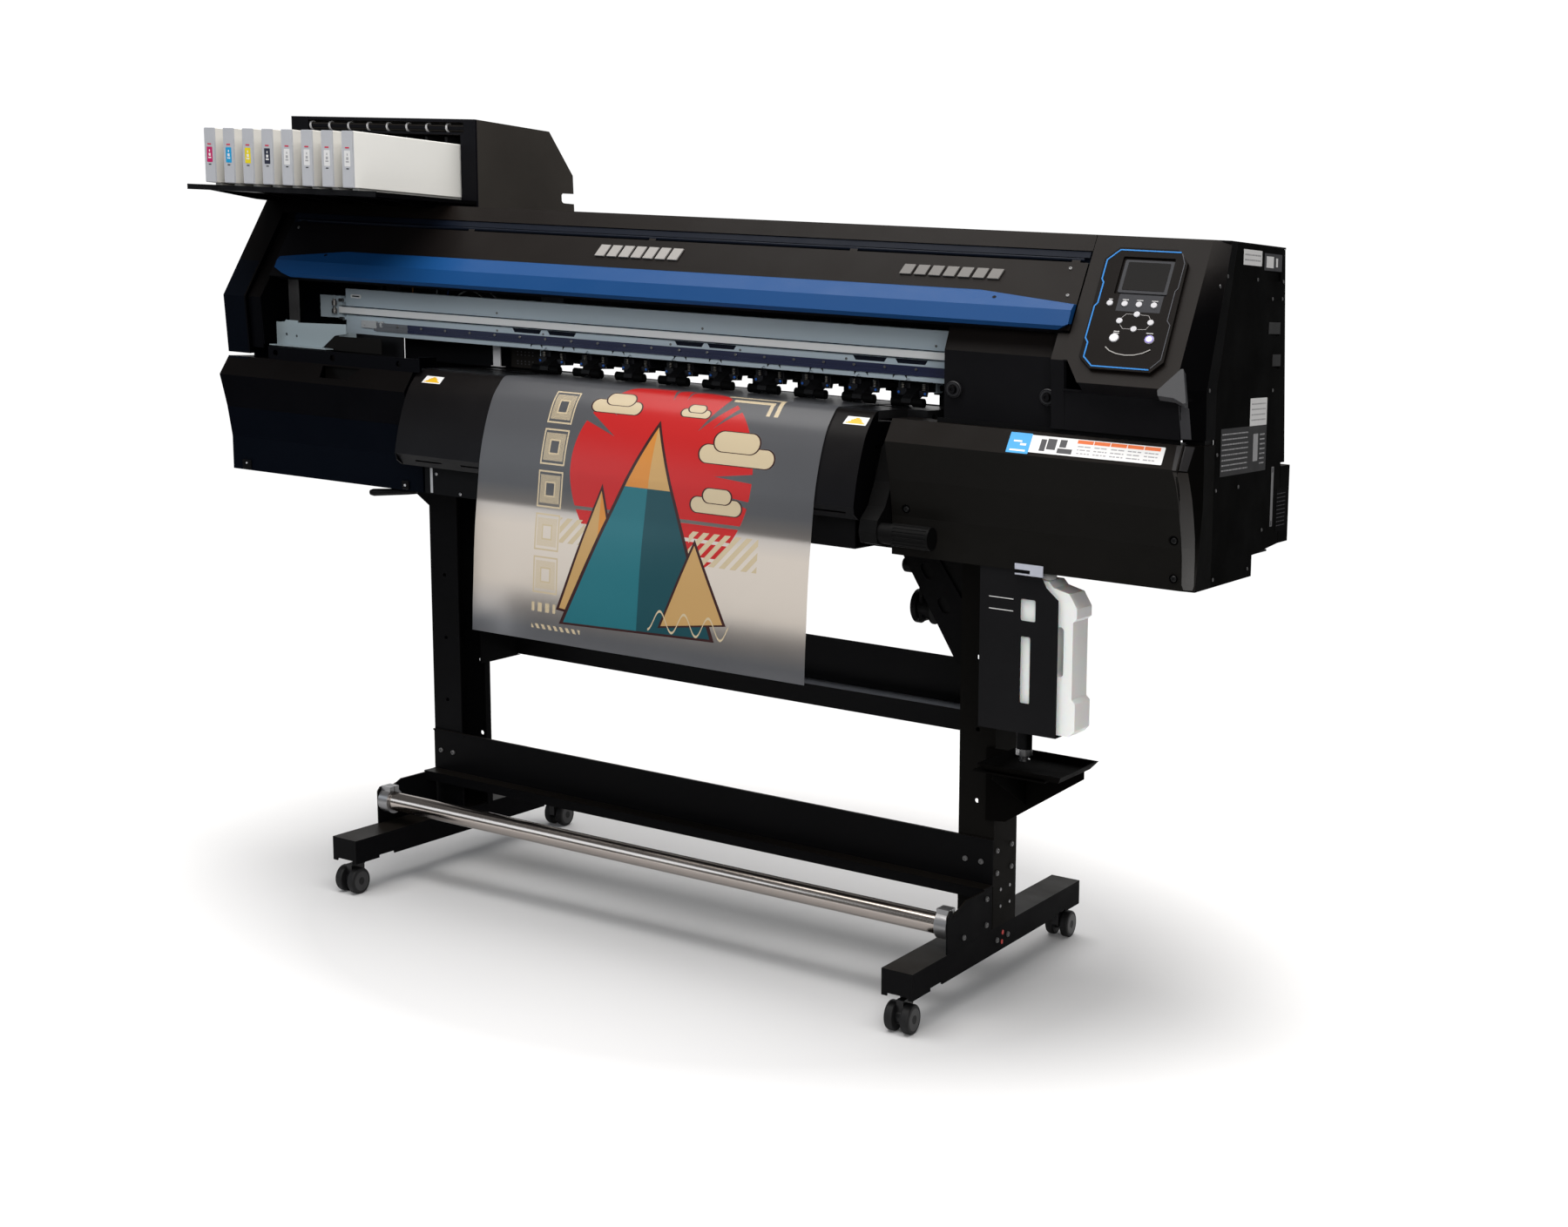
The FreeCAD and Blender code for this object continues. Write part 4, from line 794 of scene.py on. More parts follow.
def make_labels():
    white = label_paint("label_white", (0.72, 0.72, 0.72), vary=0.04)
    ink = label_paint("label_ink", (0.03, 0.03, 0.035), vary=0.18)
    slate = label_paint("label_dark", (0.007, 0.007, 0.008), 0.36, 0.18)
    grey = label_paint("label_grey", (0.32, 0.32, 0.33))
    amber = label_paint("label_orange", (0.70, 0.13, 0.01))
    yellow = label_paint("label_yellow", (0.68, 0.40, 0.01))
    sky = label_paint("label_blue", (0.03, 0.30, 0.62))
    tag("side_label_1", right(13, 1271), 92, 24, white, lines(-40, 40, -8, 8, 2, 0.3), [grey])
    tag("side_label_2", right(118, 1267), 92, 27, ink, [(-36, 2, -9, 9, 1), (14, 24, -7, 7, 1)], [white])
    tag("side_label_3", right(69, 1029), 86, 44, white, lines(-36, 36, -17, 17, 4, 0.25), [grey])
    tag("rating_plate", right(0, 970), 228, 74, slate, lines(-108, 20, -32, 32, 8, 0.26) + [(46, 70, -20, 24, 1)]
        + lines(80, 106, -28, 26, 7, 0.3), [grey])
    strip = surface("edge_silver", (0.30, 0.30, 0.31), 0.34, metal=0.6, strength=0.05)
    tag("rear_edge_strip", right(155, 886.5), 12, 99, strip, [(-3, 3, -48, -40, 1), (-3, 3, 40, 48, 1)], [ink])
    tag("side_slot", right(207, 862.5), 54, 73, surface("slot_dark", (0.0016, 0.0016, 0.0018), 0.6, specular=0.02),
        lines(-23, 23, -30, 30, 9, 0.2), [ink])
    at = facing(Vector((816, -232.5, 966)), (0, -0.8, 0.6))
    marks = [(-98, -88, -12, 10, 3), (-86, -70, -8, 12, 3), (-66, -40, -13, -4, 3), (-64, -52, -2, 12, 3)]
    for k in range(5):
        left = -34 + k * 29
        marks += [(left, left + 27.5, 8, 14.5, 2)]
        marks += [(x0, x1, y0, y1, 4) for x0, x1, y0, y1, _ in lines(left + 2, left + 25, -13, 6, 3, 0.35)]
    narrow, shift = 0.93, 0.5
    marks = [(x0 * narrow + shift, x1 * narrow + shift, y0, y1, slot) for x0, x1, y0, y1, slot in marks]
    tag("front_strip", at @ Matrix.Translation((9, 0, 0)), 218, 32, white, marks, [sky, amber, ink, grey], r=1.5)
    leaf = at @ Matrix.Translation((-116.5, -1, 0.1))
    tag("front_strip_mark", leaf, 37, 38, sky, [(-13, 13, -15, -12, 1), (-10, 4, 2, 5, 1), (2, 12, -4, 0, 1)], [white],
        r=1.5)
    for i, x in enumerate((-474.0, 405.0)):
        corners = [(x - 22, -225, 1100), (x + 20, -225, 1100), (x + 22, -213, 1100), (x - 18, -213, 1100)]
        drop(f"edge_mark_{i + 1}", corners, ["apron"], [white, yellow], 12, 8,
             paint=lambda u, v: 1 if 0.1 < v < 0.92 and abs(u - 0.5) < 0.44 * (1.05 - v) else 0)
    colours = {1: (0.47, 0.0, 0.10), 2: (0.0, 0.28, 0.56), 3: (0.68, 0.55, 0.0), 4: (0.010, 0.012, 0.03)}
    rose = label_paint("label_rose", (0.50, 0.02, 0.06))
    for i in range(1, 9):
        box_lo, box_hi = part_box(f"cartridge_{i}")
        cx = (box_lo.x + box_hi.x) / 2 / MM
        y = box_lo.y / MM
        mat = label_paint(f"ink_tag_{i}", colours.get(i, (0.66, 0.66, 0.66)))
        marks = [(-1.2, 1.2, 5, 9, 1), (-3.6, 3.6, -7, -4.5, 1), (-2.6, 2.6, -2.5, 2.5, 1)]
        spot = grey if i > 4 else white
        tag(f"cartridge_tag_{i}", front(cx, y, 1362), 14, 28, mat, marks, [spot], f"cartridge_{i}")
        tag(f"cartridge_dash_{i}", front(cx, y, 1381), 9.5, 2.6, rose, body=f"cartridge_{i}", r=0.6)
        tag(f"cartridge_note_{i}", front(cx, y, 1344), 6.5, 2.0, slate, body=f"cartridge_{i}", r=0.5)
    for i, (x, z, w, h, level) in enumerate(((-69.0, 1225, 178, 24, 0.26), (537.0, 1222, 182, 19, 0.13))):
        badge = surface(f"badge_grey_{i + 1}", (level, level * 0.96, level * 0.92), 0.42, specular=0.15,
                        strength=0.06)
        bm = bmesh.new()
        cell, lean = w / 7, h * 0.3
        for k in range(7):
            left = -w / 2 + k * cell
            add_prism(bm, [(left, -h / 2), (left + cell * 0.78, -h / 2), (left + cell * 0.78 + lean, h / 2),
                           (left + lean, h / 2)], 0.1, 3.0, on_slope(x, z))
        piece(f"badge_{i + 1}", bm, badge, "cover", bevel=0.4)


# ---------------------------------------------------------------- trims, belt, rings and small hardware
def make_trims():
    """Grey corner trims; the lowest one grows paler towards the floor and darker at its top, painted light
    from the bright floor and painted shade under the cover above.
    """
    nodes = ["right_housing", "lower_right_cover", "right_side_panel"]
    strip, upper, dark = [
        surface(name, color, 0.45, specular=0.12, grain=1600, strength=0.2, vary=vary)
        for name, color, vary in (("trim_slate", (0.045, 0.045, 0.049), 0.06),
                                  ("trim_grey", (0.037, 0.038, 0.041), 0.06),
                                  ("trim_dark", (0.024, 0.023, 0.024), 0.08))]
    g = Graph("trim_floor_lit")
    # Painted light and shade: the tone runs from dark at the top to pale near the floor.
    height = g.split(g.pos)[2]
    tone = g.mix(g.span(height, 0.955, 0.885), (0.024, 0.021, 0.019), (0.050, 0.048, 0.047))
    g.give("Base Color", g.mix(g.span(height, 0.885, 0.825), tone, (0.062, 0.061, 0.060)))
    g.give("Roughness", g.uneven(20.0, 4.0, 0.40, 0.50))
    g.pin("Specular IOR Level", 0.12)
    g.bump(g.noise(1600.0, 2.0), 0.2, 0.0004)
    bm = bmesh.new()
    x0, z0 = 928, 1063
    outline = [(x - x0, (z - z0) / SLOPE_COS) for x, z in ((928, 1064.5), (931, 1056.5), (956, 1055), (973, 1048),
                                                           (977, 1049.5), (971, 1067), (960, 1098), (956, 1098))]
    add_prism(bm, outline, -12, 0.9, on_slope(x0, z0))
    piece("trim_upper", bm, upper, bevel=0.6)
    ribbon("trim_side", [((950, -218, 1043), (966, -218, 1040)), ((955, -218, 993.5), (971, -218, 994))], nodes, strip)
    ribbon("trim_lower", [((949, -217, 983), (976, -216, 983)), ((953, -247, 948), (976, -247, 948))], nodes, dark)
    ribbon("trim_corner", [((950, -235, 944), (973, -235, 945)), ((955, -235, 927), (977, -235, 926)),
                           ((960, -235, 901), (981, -235, 904)), ((963, -235, 875), (984, -235, 879)),
                           ((966, -235, 844), (987, -235, 848)), ((968, -235, 817), (988, -235, 818)),
                           ((969, -235, 775), (988, -235, 775)), ((972, -235, 768), (986, -235, 769))], nodes, g.mat)


def tube(bm, pts, r):
    """Round wire along a list of points, carried from point to point without twisting."""
    steps, side, rings = 8, None, []
    for i, p in enumerate(pts):
        way = (pts[min(i + 1, len(pts) - 1)] - pts[max(i - 1, 0)]).normalized()
        if side is None:
            side = way.orthogonal().normalized()
        side = (side - way * side.dot(way)).normalized()
        up = way.cross(side)
        rings.append([bm.verts.new(p + (side * math.cos(a) + up * math.sin(a)) * r)
                      for a in (2 * math.pi * k / steps for k in range(steps))])
    for a, b in zip(rings, rings[1:]):
        for k in range(steps):
            bm.faces.new((a[k], a[(k + 1) % steps], b[(k + 1) % steps], b[k]))
    bm.faces.new(list(reversed(rings[0])))
    bm.faces.new(rings[-1])


def arc(a, b, sag):
    """Points of a sagging or rising run between a and b."""
    a, b, n = Vector(a), Vector(b), 14
    return [a.lerp(b, k / n) + Vector((0, 0, sag * math.sin(math.pi * k / n))) for k in range(n + 1)]


def make_rail_details():
    belt = surface("belt_white", (0.93, 0.96, 0.97), 0.42, grain=800, strength=0.08, vary=0.06)
    boxes("drive_belt", belt, [(-832, 880, -66.6, -65.4, 1077, 1089)])
    steel = surface("screw_steel", (0.16, 0.155, 0.15), 0.32, metal=1.0, grain=400, strength=0.06, vary=0.1)
    dark = surface("slot_dark", (0.003, 0.003, 0.004), 0.6, specular=0.1)
    navy = surface("slot_navy", (0.004, 0.006, 0.014), 0.6, specular=0.1)
    # Painted shadow: thin dark lines along the top and bottom edges of the belt.
    boxes("belt_shadow_lines", navy, [(-832, 880, -66.0, -65.4, z, z + 1.4) for z in (1074.6, 1090.2)])
    screws("guide_screws", steel, [((x, -66.1, 1058.0), (0, -1, 0)) for x in range(-685, 885, 59)], 2.6, 1.0)
    bm = bmesh.new()
    for x, w in ((-411, 67), (-330, 65), (-49, 62), (20, 60), (313, 65), (394, 61)):
        add_prism(bm, [(x, 3.8), (x + w, 3.8), (x + w - 5, -3.8), (x + 5, -3.8)], 0, 0.4, front(0, -60.05, 1070))
    piece("rail_slots", bm, navy)
    bm = bmesh.new()
    for x in (-367, -294, -183, -49, 25, 145, 230, 317, 391):
        for corner in ([(x, 3), (x + 4.5, 3), (x, -3)], [(x + 22, 3), (x + 26.5, 3), (x + 26.5, -3)]):
            add_prism(bm, corner, 0, 0.4, front(0, -63.05, 1043.6))
    piece("rail_arrows", bm, dark)
    spots = [((x, -60.2, z), (0, -1, 0)) for x, z in ((-447, 1099), (-447, 1066.5), (-340, 1066.5), (10, 1099),
                                                      (-58, 1066.5), (88, 1066.5), (300, 1066.5), (470, 1099))]
    screws("rail_screws", steel, spots, 2.2, 0.9)
    bm = bmesh.new()
    add_box(bm, -776, -738, -66.5, -60.2, 1051.5, 1066)
    add_turned(bm, [(0, 0), (6.5, 0), (6.5, 4), (5, 4.6), (3, 4.6), (3, 6), (0, 6)], front(-727, -60.2, 1060), 24)
    add_cap(bm, front(-768, -60.2, 1058), 2.6, 7.4, 7.6, 16)
    piece("idler_bracket", bm, surface("idler_pale", (0.55, 0.57, 0.58), 0.35, vary=0.1),
          bevel=0.3)
    tag("rail_label", front(-793, -60.1, 1111), 27, 7.5, belt, [(-9, 9, -1.2, 1.2, 1)], [dark], r=2.5)
    bm = bmesh.new()
    for z in (1078.5, 1094):
        add_turned(bm, [(0, 0), (5, 0), (5, 9), (3, 9.5), (3, 13), (0, 13)], above(-836, -75, z - 3), 20)
    for z in (1066, 1102):
        add_turned(bm, [(0, -5), (3.2, -5), (3.2, 5), (0, 5)], right(-70, z, -822), 12)
    piece("idler_screws", bm, steel)


def make_interior():
    """What shows above and below the rail: rear guide with its openings, side plates, posts and wiring."""
    inner = surface("inner_black", (0.004, 0.0042, 0.0055), 0.5, specular=0.12)
    brown = surface("inner_brown", (0.012, 0.010, 0.008), 0.55, specular=0.12)
    grey = surface("inner_grey", (0.060, 0.060, 0.062), 0.45, specular=0.2, vary=0.15)
    bright = surface("bracket_bright", (0.80, 0.80, 0.82), 0.35, grain=700, vary=0.08)
    bm = bmesh.new()
    add_box(bm, -735, -480, 62, 64, 965, 1050)
    add_box(bm, -739, -521, 19, 21, 992.6, 1040)
    done, top = -480.0, 1048
    for k in range(9):
        x = -398 + k * 94.5
        end = x + 64
        slim = k >= 4
        tab = (x + 50, end, 61, 64, 1011, 1018) if slim else (x + 38, end, 61, 64, 1010, 1020)
        add_box(bm, done, x, 62, 64, 965, top)
        add_box(bm, x, end, 62, 64, 965, 994)
        add_prism(bm, [(x, 996), (x + 8, 1004), (x + 36, 1006), (x + (40 if slim else 42), 1024), (x + 42, top),
                       (x, top)], -64, -62, X_UP_BACK)
        for row in ((end - 4, end, 62, 64, 994, top), (x + 42, end, 62, 64, 1028, top), tab):
            add_box(bm, *row)
        done = end
    add_box(bm, done, 545, 62, 64, 965, top)
    piece("rear_guide", bm, inner)
    boxes("side_plate", brown, [(-478, -398, 22, 24, 995.5, 1038)])
    bm = bmesh.new()
    for z in (1003, 1008, 1020, 1026):
        for x in range(-462, -420, 9):
            add_cap(bm, front(x, 21.9, z), 1.5, 0.5, 0.5, 10)
    piece("side_plate_holes", bm, grey)
    boxes("sensor_bracket", bright, [(-507, -490, 2.5, 6, 996, 1039.5), (-512, -485, 2.5, 14, 994.6, 996)], 0.4)
    boxes("inner_posts", grey, [(-893.4, -868, -141, -138, 1013, 1190), (-841, -828, 60, 64, 1005, 1284),
                                (-820, -786, 62, 66, 1112, 1284), (-432, -379, 60, 64, 1122, 1284)], 0.6)
    boxes("back_wall", inner, [(-895, 764, 104.5, 107, 1060, 1288)])
    colours = ((0.45, 0.18, 0.02), (0.45, 0.45, 0.45), (0.02, 0.09, 0.30), (0.42, 0.42, 0.40), (0.20, 0.20, 0.20))
    runs = (((-733, 40, 1112), (-730, 40, 1200), 0), ((-675, 40, 1112), (-655, 40, 1200), 0),
            ((-648, 40, 1112), (-622, 40, 1200), 0), ((-628, 40, 1117), (-548, 40, 1116), 19),
            ((-585, 40, 1148), (-512, 40, 1114), 8))
    for i, ((a, b, sag), color) in enumerate(zip(runs, colours)):
        bm = bmesh.new()
        tube(bm, arc(a, b, sag), 1.6)
        piece(f"wire_{i + 1}", bm, surface(f"wire_paint_{i + 1}", color, 0.4, grain=600, strength=0.05), smooth=True)


def make_pinch_details():
    """Holders, springs and coloured dots that lift together with the pinch arms."""
    holder = surface("holder_black", (0.005, 0.0052, 0.0075), 0.42, specular=0.2, grain=700, strength=0.15)
    brass = surface("spring_steel", (0.32, 0.30, 0.27), 0.3, metal=1.0, grain=500, strength=0.1)
    dot = surface("dot_blue", (0.01, 0.10, 0.45), 0.35, strength=0.05)
    solid, spring, dots = bmesh.new(), bmesh.new(), bmesh.new()
    for k in range(PINCH_COUNT):
        x = PINCH_X0 + k * PINCH_STEP
        add_box(solid, x - 34, x - 11, -34, 6, 1021, 1034)
        add_box(solid, x + 11, x + 24, -34, 6, 1019, 1034)
        add_prism(solid, [(x - 30, -46), (x - 12, -46), (x - 12, -34), (x - 30, -34)], 1012, 1024)
        add_prism(solid, [(x + 12, -46), (x + 28, -46), (x + 22, -34), (x + 12, -34)], 1012, 1022)
        for dx in (-22, 18):
            for turn in range(5):
                profile = [(3.0, -0.8), (3.6, 0), (3.0, 0.8), (2.4, 0), (3.0, -0.8)]
                add_turned(spring, profile, above(x + dx, -39, 1022.5 + turn * 2.4), 14)
        for dx in (-25.92, 23.76):
            add_cap(dots, front(x + dx, -46.1, 1017), 2.2, 1.2, 1.4, 12)
    piece("pinch_holders", solid, holder, "lift_bar", bevel=0.8)
    piece("pinch_springs", spring, brass, "lift_bar", smooth=True)
    piece("pinch_dots", dots, dot, "lift_bar")
    # The knob rings are real; their grey, lighter than the black round them, is partly a painted highlight on the rims.
    bm = bmesh.new()
    for x in (565, 727):
        at = front(x, -193, 1037)
        add_turned(bm, [(12.2, -6), (13.4, -6), (13.4, -1), (12.2, 0), (12.2, -6)], at, 36)
        add_ring(bm, at, 8, 11, 0, 0.7, 36)
    piece("knob_rings", bm, surface("knob_grey_sheen", (0.016, 0.016, 0.018), 0.35))


def make_ink_unit():
    pale = surface("ring_pale", (0.42, 0.42, 0.43), 0.35, strength=0.05)
    bm = bmesh.new()
    for k in range(8):
        add_ring(bm, facing((CART_X - 13 + k * 49, -9, 1441), (1, 0, 0.10)), 7.6, 9.4, 0, 3.6, 24)
    piece("bar_rings", bm, pale)
    dark = surface("bay_dark", (0.006, 0.006, 0.007), 0.55, specular=0.12)
    gaps = [CART_X + CART_W + (CART_STEP - CART_W) / 2 + k * CART_STEP for k in range(7)]
    boxes("bay_dividers", dark, [(x - 3, x + 3, -12, 200, 1307.6, 1425) for x in gaps], 0.6)


def make_screws():
    dark = surface("screw_black", (0.11, 0.11, 0.112), 0.3, metal=0.5, grain=400, strength=0.05)
    steel = surface("screw_zinc", (0.38, 0.38, 0.39), 0.3, metal=1.0, grain=400, strength=0.05, vary=0.1)
    spots = [(Vector((x, slope_y(1259) + 11, 1259)), SLOPE_N) for x in (752, -884)]
    for y, z in ((-106, 1239), (-140, 1223), (41, 1238), (176, 1238), (174, 1210), (121, 1209), (-174, 1067),
                 (-22, 913), (-130, 968), (-130, 913), (38, 777), (106, 835), (139, 1062), (-131, 775)):
        spots.append(((SIDE_X, y, z), (1, 0, 0)))
    spots += [((x, -218.2, 1000), (0, -1, 0)) for x in (-970, -940)]
    screws("cover_screws", dark, spots, 3.0, 1.0)
    hinged = [(Vector((x, slope_y(z), z)) + SLOPE_N * 0.1, SLOPE_N)
              for x, z in ((737, 1238), (745, 1196), (-868, 1238))]
    screws("hinged_cover_screws", dark, hinged, 3.0, 1.2, "cover")
    # Dark discs on the blue band are painted shade standing for the inside of its holes.
    bm = bmesh.new()
    for x, z in ((627, 1187), (-764, 1188)):
        at, normal = cast(["blue_band"], Vector((x, -400, z)), (0, 1, 0))
        add_turned(bm, [(0, 0.05), (3.4, 0.05), (3.4, 0.3), (0, 0.3)], facing(at, normal), 18)
    piece("band_holes", bm, surface("hole_shade", (0.004, 0.004, 0.005), 0.6, specular=0.05), "cover")
    spots = []
    for outer, sign in ((-637, -1), (582, 1)):
        for y, z in ((-30, 205), (30, 205), (-30, 245), (30, 245), (-20, 740), (30, 740), (-70, 122), (-70, 168),
                     (-160, 122), (-25, 84), (20, 84)):
            spots.append(((outer + sign * 0.1, y, z), (sign, 0, 0)))
    spots += [((x, -46.2, 225), (0, -1, 0)) for x in (-620, -590, 530, 560)]
    screws("stand_screws", dark, spots, 5.0, 3.0)
    nuts = [((582.1, y, z), (1, 0, 0)) for y in (-12, 26) for z in (142, 172)]
    nuts += [((x, -218.2, z), (0, -1, 0)) for x, z in ((-473, 801), (-418, 769))]
    screws("pale_rivets", steel, nuts, 3.0, 1.0)
    bm = bmesh.new()
    for x, z in ((949, 839), (950, 781), (497, 839)):
        hit, _ = cast(["lower_right_cover"], Vector((x, -400, z)), (0, 1, 0))
        at = front(*hit)
        add_turned(bm, [(0, 0.1), (4.6, 0.1), (4.6, 2.2), (3.8, 2.8), (1.9, 2.8), (1.7, 1.2), (0, 1.2)], at, 20)
        # A near-black flat ring round each stud is painted shade in its recess.
        add_ring(bm, at, 4.9, 6.9, 0.1, 0.5, 28, 1)
    stud = surface("stud_black", (0.007, 0.007, 0.0075), 0.3, specular=0.25, grain=400, strength=0.05)
    piece("cover_studs", bm, [stud, surface("stud_recess_shade", (0.0006, 0.0006, 0.0007), 0.6, specular=0.02)])
    red = surface("dot_red", (0.55, 0.02, 0.015), 0.35, strength=0.04, vary=0.05)
    bm = bmesh.new()
    for y, z in ((0, 92), (-3, 76)):
        add_cap(bm, right(y, z, 582.1), 4.2, 0.35, 0.4, 24)
    piece("level_dots", bm, red)


def make_under_parts():
    """Hardware under the body: seam strip, strut backing, roll holder and the drain clip."""
    black = surface("under_black", (0.0028, 0.0028, 0.0031), 0.45, specular=0.08, grain=800)
    boxes("seam_strip", black, [(545, 950, -207, -204, 984.1, 991.4), (950, 976, -178, -175, 984.1, 992),
                                (976.4, 978.8, -178, -140, 984.1, 992)])
    bm = bmesh.new()
    add_prism(bm, [(384, 759), (524, 759), (524, 566), (486, 571), (386, 735)], 5, 7, X_UP_FORE)
    add_box(bm, 350, 356, 128, 172, 596, 762.5)
    piece("strut_backing", bm, black)
    bm = bmesh.new()
    add_turned(bm, [(0, 0), (27, 0), (31, 3), (31, 12), (24, 14), (24, 34), (30, 36), (30, 40), (0, 40)],
               right(150, 621, 334), 40)
    add_turned(bm, [(0, 0), (11, 0), (14, 3), (14, 18), (9, 20), (9, 41), (0, 41)], right(150, 694, 309), 28)
    piece("roll_holder", bm, black, bevel=0.5)
    bm = bmesh.new()
    add_turned(bm, [(0, 0), (5, 0), (6.0, 20), (7.0, 92), (5, 99), (0, 100)],
               facing((-540, -196, 760.5), (-0.975, -0.17, -0.11)), 20)
    piece("pull_handle", bm, black, smooth=True)
    bm = bmesh.new()
    add_box(bm, -487, -481.5, -218.7, -218.1, 765, 811)
    add_cap(bm, front(-545, -221.5, 773), 2.4, 1.6, 1.8, 16)
    add_cap(bm, front(-943, -221.5, 777), 1.8, 1.6, 1.8, 16)
    piece("sill_marks", bm, surface("mark_bright", (0.45, 0.46, 0.48), 0.35, strength=0.04, vary=0.08))
    boxes("sill_knob", black, [(-553, -537, -222, -218.2, 765.5, 781), (-955, -933, -222, -218.2, 765.5, 783)], 1.2)
    bm = bmesh.new()
    y0, y1 = slope_y(1256) + 2, slope_y(1266) + 2
    add_prism(bm, [(y0, 1256), (y1, 1266), (y1 + 1, 1266), (y0 + 1, 1256)], -892, 763, Y_UP_RIGHT)
    piece("hinge_strip", bm,
          surface("strip_navy", (0.0035, 0.0055, 0.011), 0.45, specular=0.06, grain=1100, strength=0.08))
    bm = bmesh.new()
    add_box(bm, -746, -640, -206, -204, 936, 1000)
    add_prism(bm, [(-777, 1009.2), (-630, 1009.2), (-630, 1038), (-745, 1036)], 176.4, 178, X_UP_BACK)
    piece("grip_scoop", bm, surface("scoop_brown", (0.0065, 0.0060, 0.0056), 0.5, specular=0.06))
    bm = bmesh.new()
    for y0, y1, z0, z1 in ((107, 168, 1153, 1172), (132, 176, 1101, 1120)):
        add_box(bm, y0, y1, z0, z1, SIDE_X - 0.8, SIDE_X + 0.4, Y_UP_RIGHT)
    piece("side_grips", bm, surface("side_grip_grey", (0.010, 0.010, 0.0105), 0.4, specular=0.2), bevel=0.4)
    g = Graph("clip_clear")
    g.give("Base Color", g.mix(g.noise(30.0, 3.0), (0.52, 0.55, 0.66), (0.70, 0.72, 0.80)))
    g.give("Roughness", g.uneven(60.0, 2.0, 0.12, 0.25))
    g.pin("Transmission Weight", 0.35)
    boxes("drain_clip", g.mat, [(690, 738, -221.5, -219, 765, 774.5), (716, 738, -221.5, -219, 757, 766),
                                (690, 738, -221, -212, 756.5, 759)], 0.5)


def make_casters():
    hub = surface("hub_plastic", (0.016, 0.016, 0.017), 0.35, specular=0.4, grain=700, strength=0.06)
    for corner in ("front_left", "front_right", "rear_left", "rear_right"):
        lo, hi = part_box(f"wheels_{corner}")
        x0, x1 = lo.x / MM, hi.x / MM
        y = (lo.y + hi.y) / 2 / MM
        bm = bmesh.new()
        for x, normal in ((x0, (-1, 0, 0)), (x1, (1, 0, 0))):
            at = facing((x, y, WHEEL_R), normal)
            add_turned(bm, [(0, -0.6), (19, -0.6), (19, 0.0), (17.5, 0.35), (8, 0.35), (7, -0.2), (0, -0.2)], at, 32)
        piece(f"hub_caps_{corner}", bm, hub, f"wheels_{corner}")


def make_bottle():
    cap = surface("cap_plastic", (0.70, 0.70, 0.69), 0.4, grain=500, strength=0.1, vary=0.05)
    bm = bmesh.new()
    at = above(729, -177, 749.5)
    add_turned(bm, [(0, 0), (13, 0), (13, 9), (11.5, 11), (0, 11)], at, 36)
    for k in range(24):
        add_box(bm, -0.7, 0.7, 12.7, 13.6, 0.8, 8.5, at @ Matrix.Rotation(2 * math.pi * k / 24, 4, "Z"))
    piece("bottle_cap", bm, cap, "bottle")
    mark = label_paint("mark_white", (0.62, 0.62, 0.62), grain=900)
    bm = bmesh.new()
    at = front(668, -215.1, 706)
    for y in (9, -10.2):
        add_box(bm, -24, 18, y, y + 1.2, 0, 0.2, at)
    piece("level_lines", bm, mark)
    steel = brushed("valve_steel", (0.45, 0.45, 0.46), "z", 0.25)
    bm = bmesh.new()
    add_turned(bm, [(0, 0), (10, 0), (10, 3), (7, 4), (7, 9), (13.5, 9.5), (13.5, 20), (13.1, 20.4), (0, 20.4)],
               above(681, -150, 441.5), 32)
    piece("valve_collar", bm, steel)


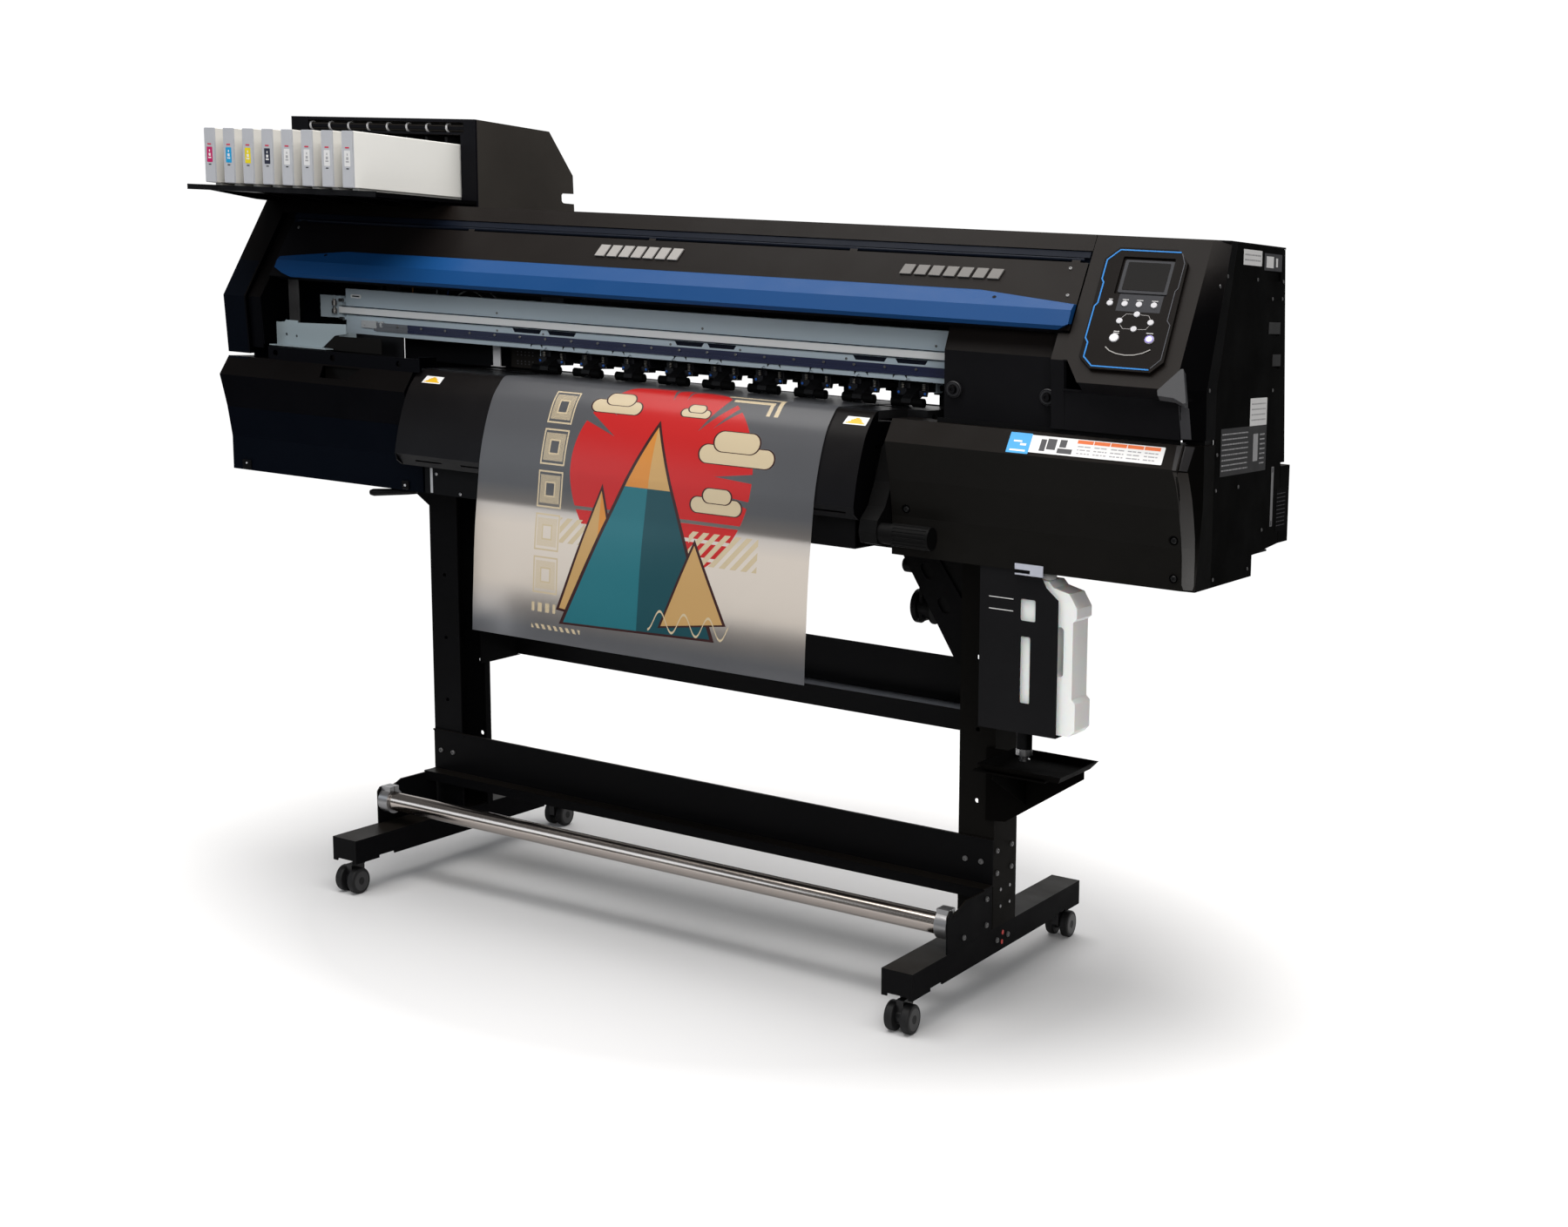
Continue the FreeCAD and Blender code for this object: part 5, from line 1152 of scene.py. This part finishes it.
# ---------------------------------------------------------------- studio
def make_studio():
    g = Graph("floor_paint")
    x, y, _ = g.split(g.pos)
    far = g.math("SQRT", g.math("ADD", g.math("MULTIPLY", x, x), g.math("MULTIPLY", y, y)))
    # Painted light: the floor's paint grows paler with distance from the middle, making up for the overhead lamp giving
    # less light further out.
    tone = g.mix(g.noise(0.6, 3.0), (0.565, 0.57, 0.58), (0.60, 0.605, 0.615))
    g.give("Base Color", g.mix(g.span(far, 0.75, 1.35), tone, (0.97, 0.975, 0.98)))
    g.give("Roughness", g.uneven(3.0, 2.0, 0.55, 0.7))
    g.give("Alpha", g.span(far, 1.25, 1.95, 1.0, 0.0))
    g.pin("Specular IOR Level", 0.05)
    bm = bmesh.new()
    add_prism(bm, rounded(12000, 12000, 5999, 24), -20, 0)
    make_object("floor", bm, g.mat)

    # The room is bright towards the back right and dim elsewhere, but the camera sees plain white behind the part.
    world = bpy.data.worlds.new("studio")
    bpy.context.scene.world = world
    world.use_nodes = True
    tree = world.node_tree
    sky = tree.nodes["Background"]
    where, along = tree.nodes.new("ShaderNodeTexCoord"), tree.nodes.new("ShaderNodeVectorMath")
    along.operation = "DOT_PRODUCT"
    along.inputs[1].default_value = (-0.50, 0.866, 0.0)
    ramp = tree.nodes.new("ShaderNodeMapRange")
    for i, value in enumerate((0.74, 0.885, 0.16, WHITE)):
        ramp.inputs[i + 1].default_value = value
    tree.links.new(where.outputs["Generated"], along.inputs[0])
    tree.links.new(along.outputs["Value"], ramp.inputs[0])
    seen, paths = tree.nodes.new("ShaderNodeMix"), tree.nodes.new("ShaderNodeLightPath")
    seen.inputs[3].default_value = WHITE
    tree.links.new(paths.outputs["Is Camera Ray"], seen.inputs[0])
    tree.links.new(ramp.outputs[0], seen.inputs[2])
    tree.links.new(seen.outputs[0], sky.inputs[1])
    sky.inputs[0].default_value = (1.0, 1.0, 1.0, 1)
    for name, at, size, power, color in (
            ("overhead", (0.2, -0.3, 4.4), 5.6, 400, (1.0, 0.975, 0.95)),
            ("front_left", (-2.8, -3.6, 1.9), 2.0, 22, (0.84, 0.92, 1.0)),
            ("front_right", (2.9, -4.2, 2.2), 2.0, 85, (1.0, 0.98, 0.96))):
        data = bpy.data.lights.new(name, "AREA")
        data.shape, data.size, data.energy, data.color = "DISK", size, power, color
        lamp = bpy.data.objects.new(name, data)
        lamp.location = at
        aim = Vector((0, 0, 0.9)) - Vector(at)
        lamp.rotation_mode = "QUATERNION"
        lamp.rotation_quaternion = aim.to_track_quat("-Z", "Y")
        bpy.context.scene.collection.objects.link(lamp)
    bpy.context.scene.view_settings.view_transform = "Standard"


make_camera()
paint_nodes()
make_film()
make_panel()
make_labels()
make_trims()
make_rail_details()
make_interior()
make_pinch_details()
make_ink_unit()
make_screws()
make_under_parts()
make_casters()
make_bottle()
make_studio()
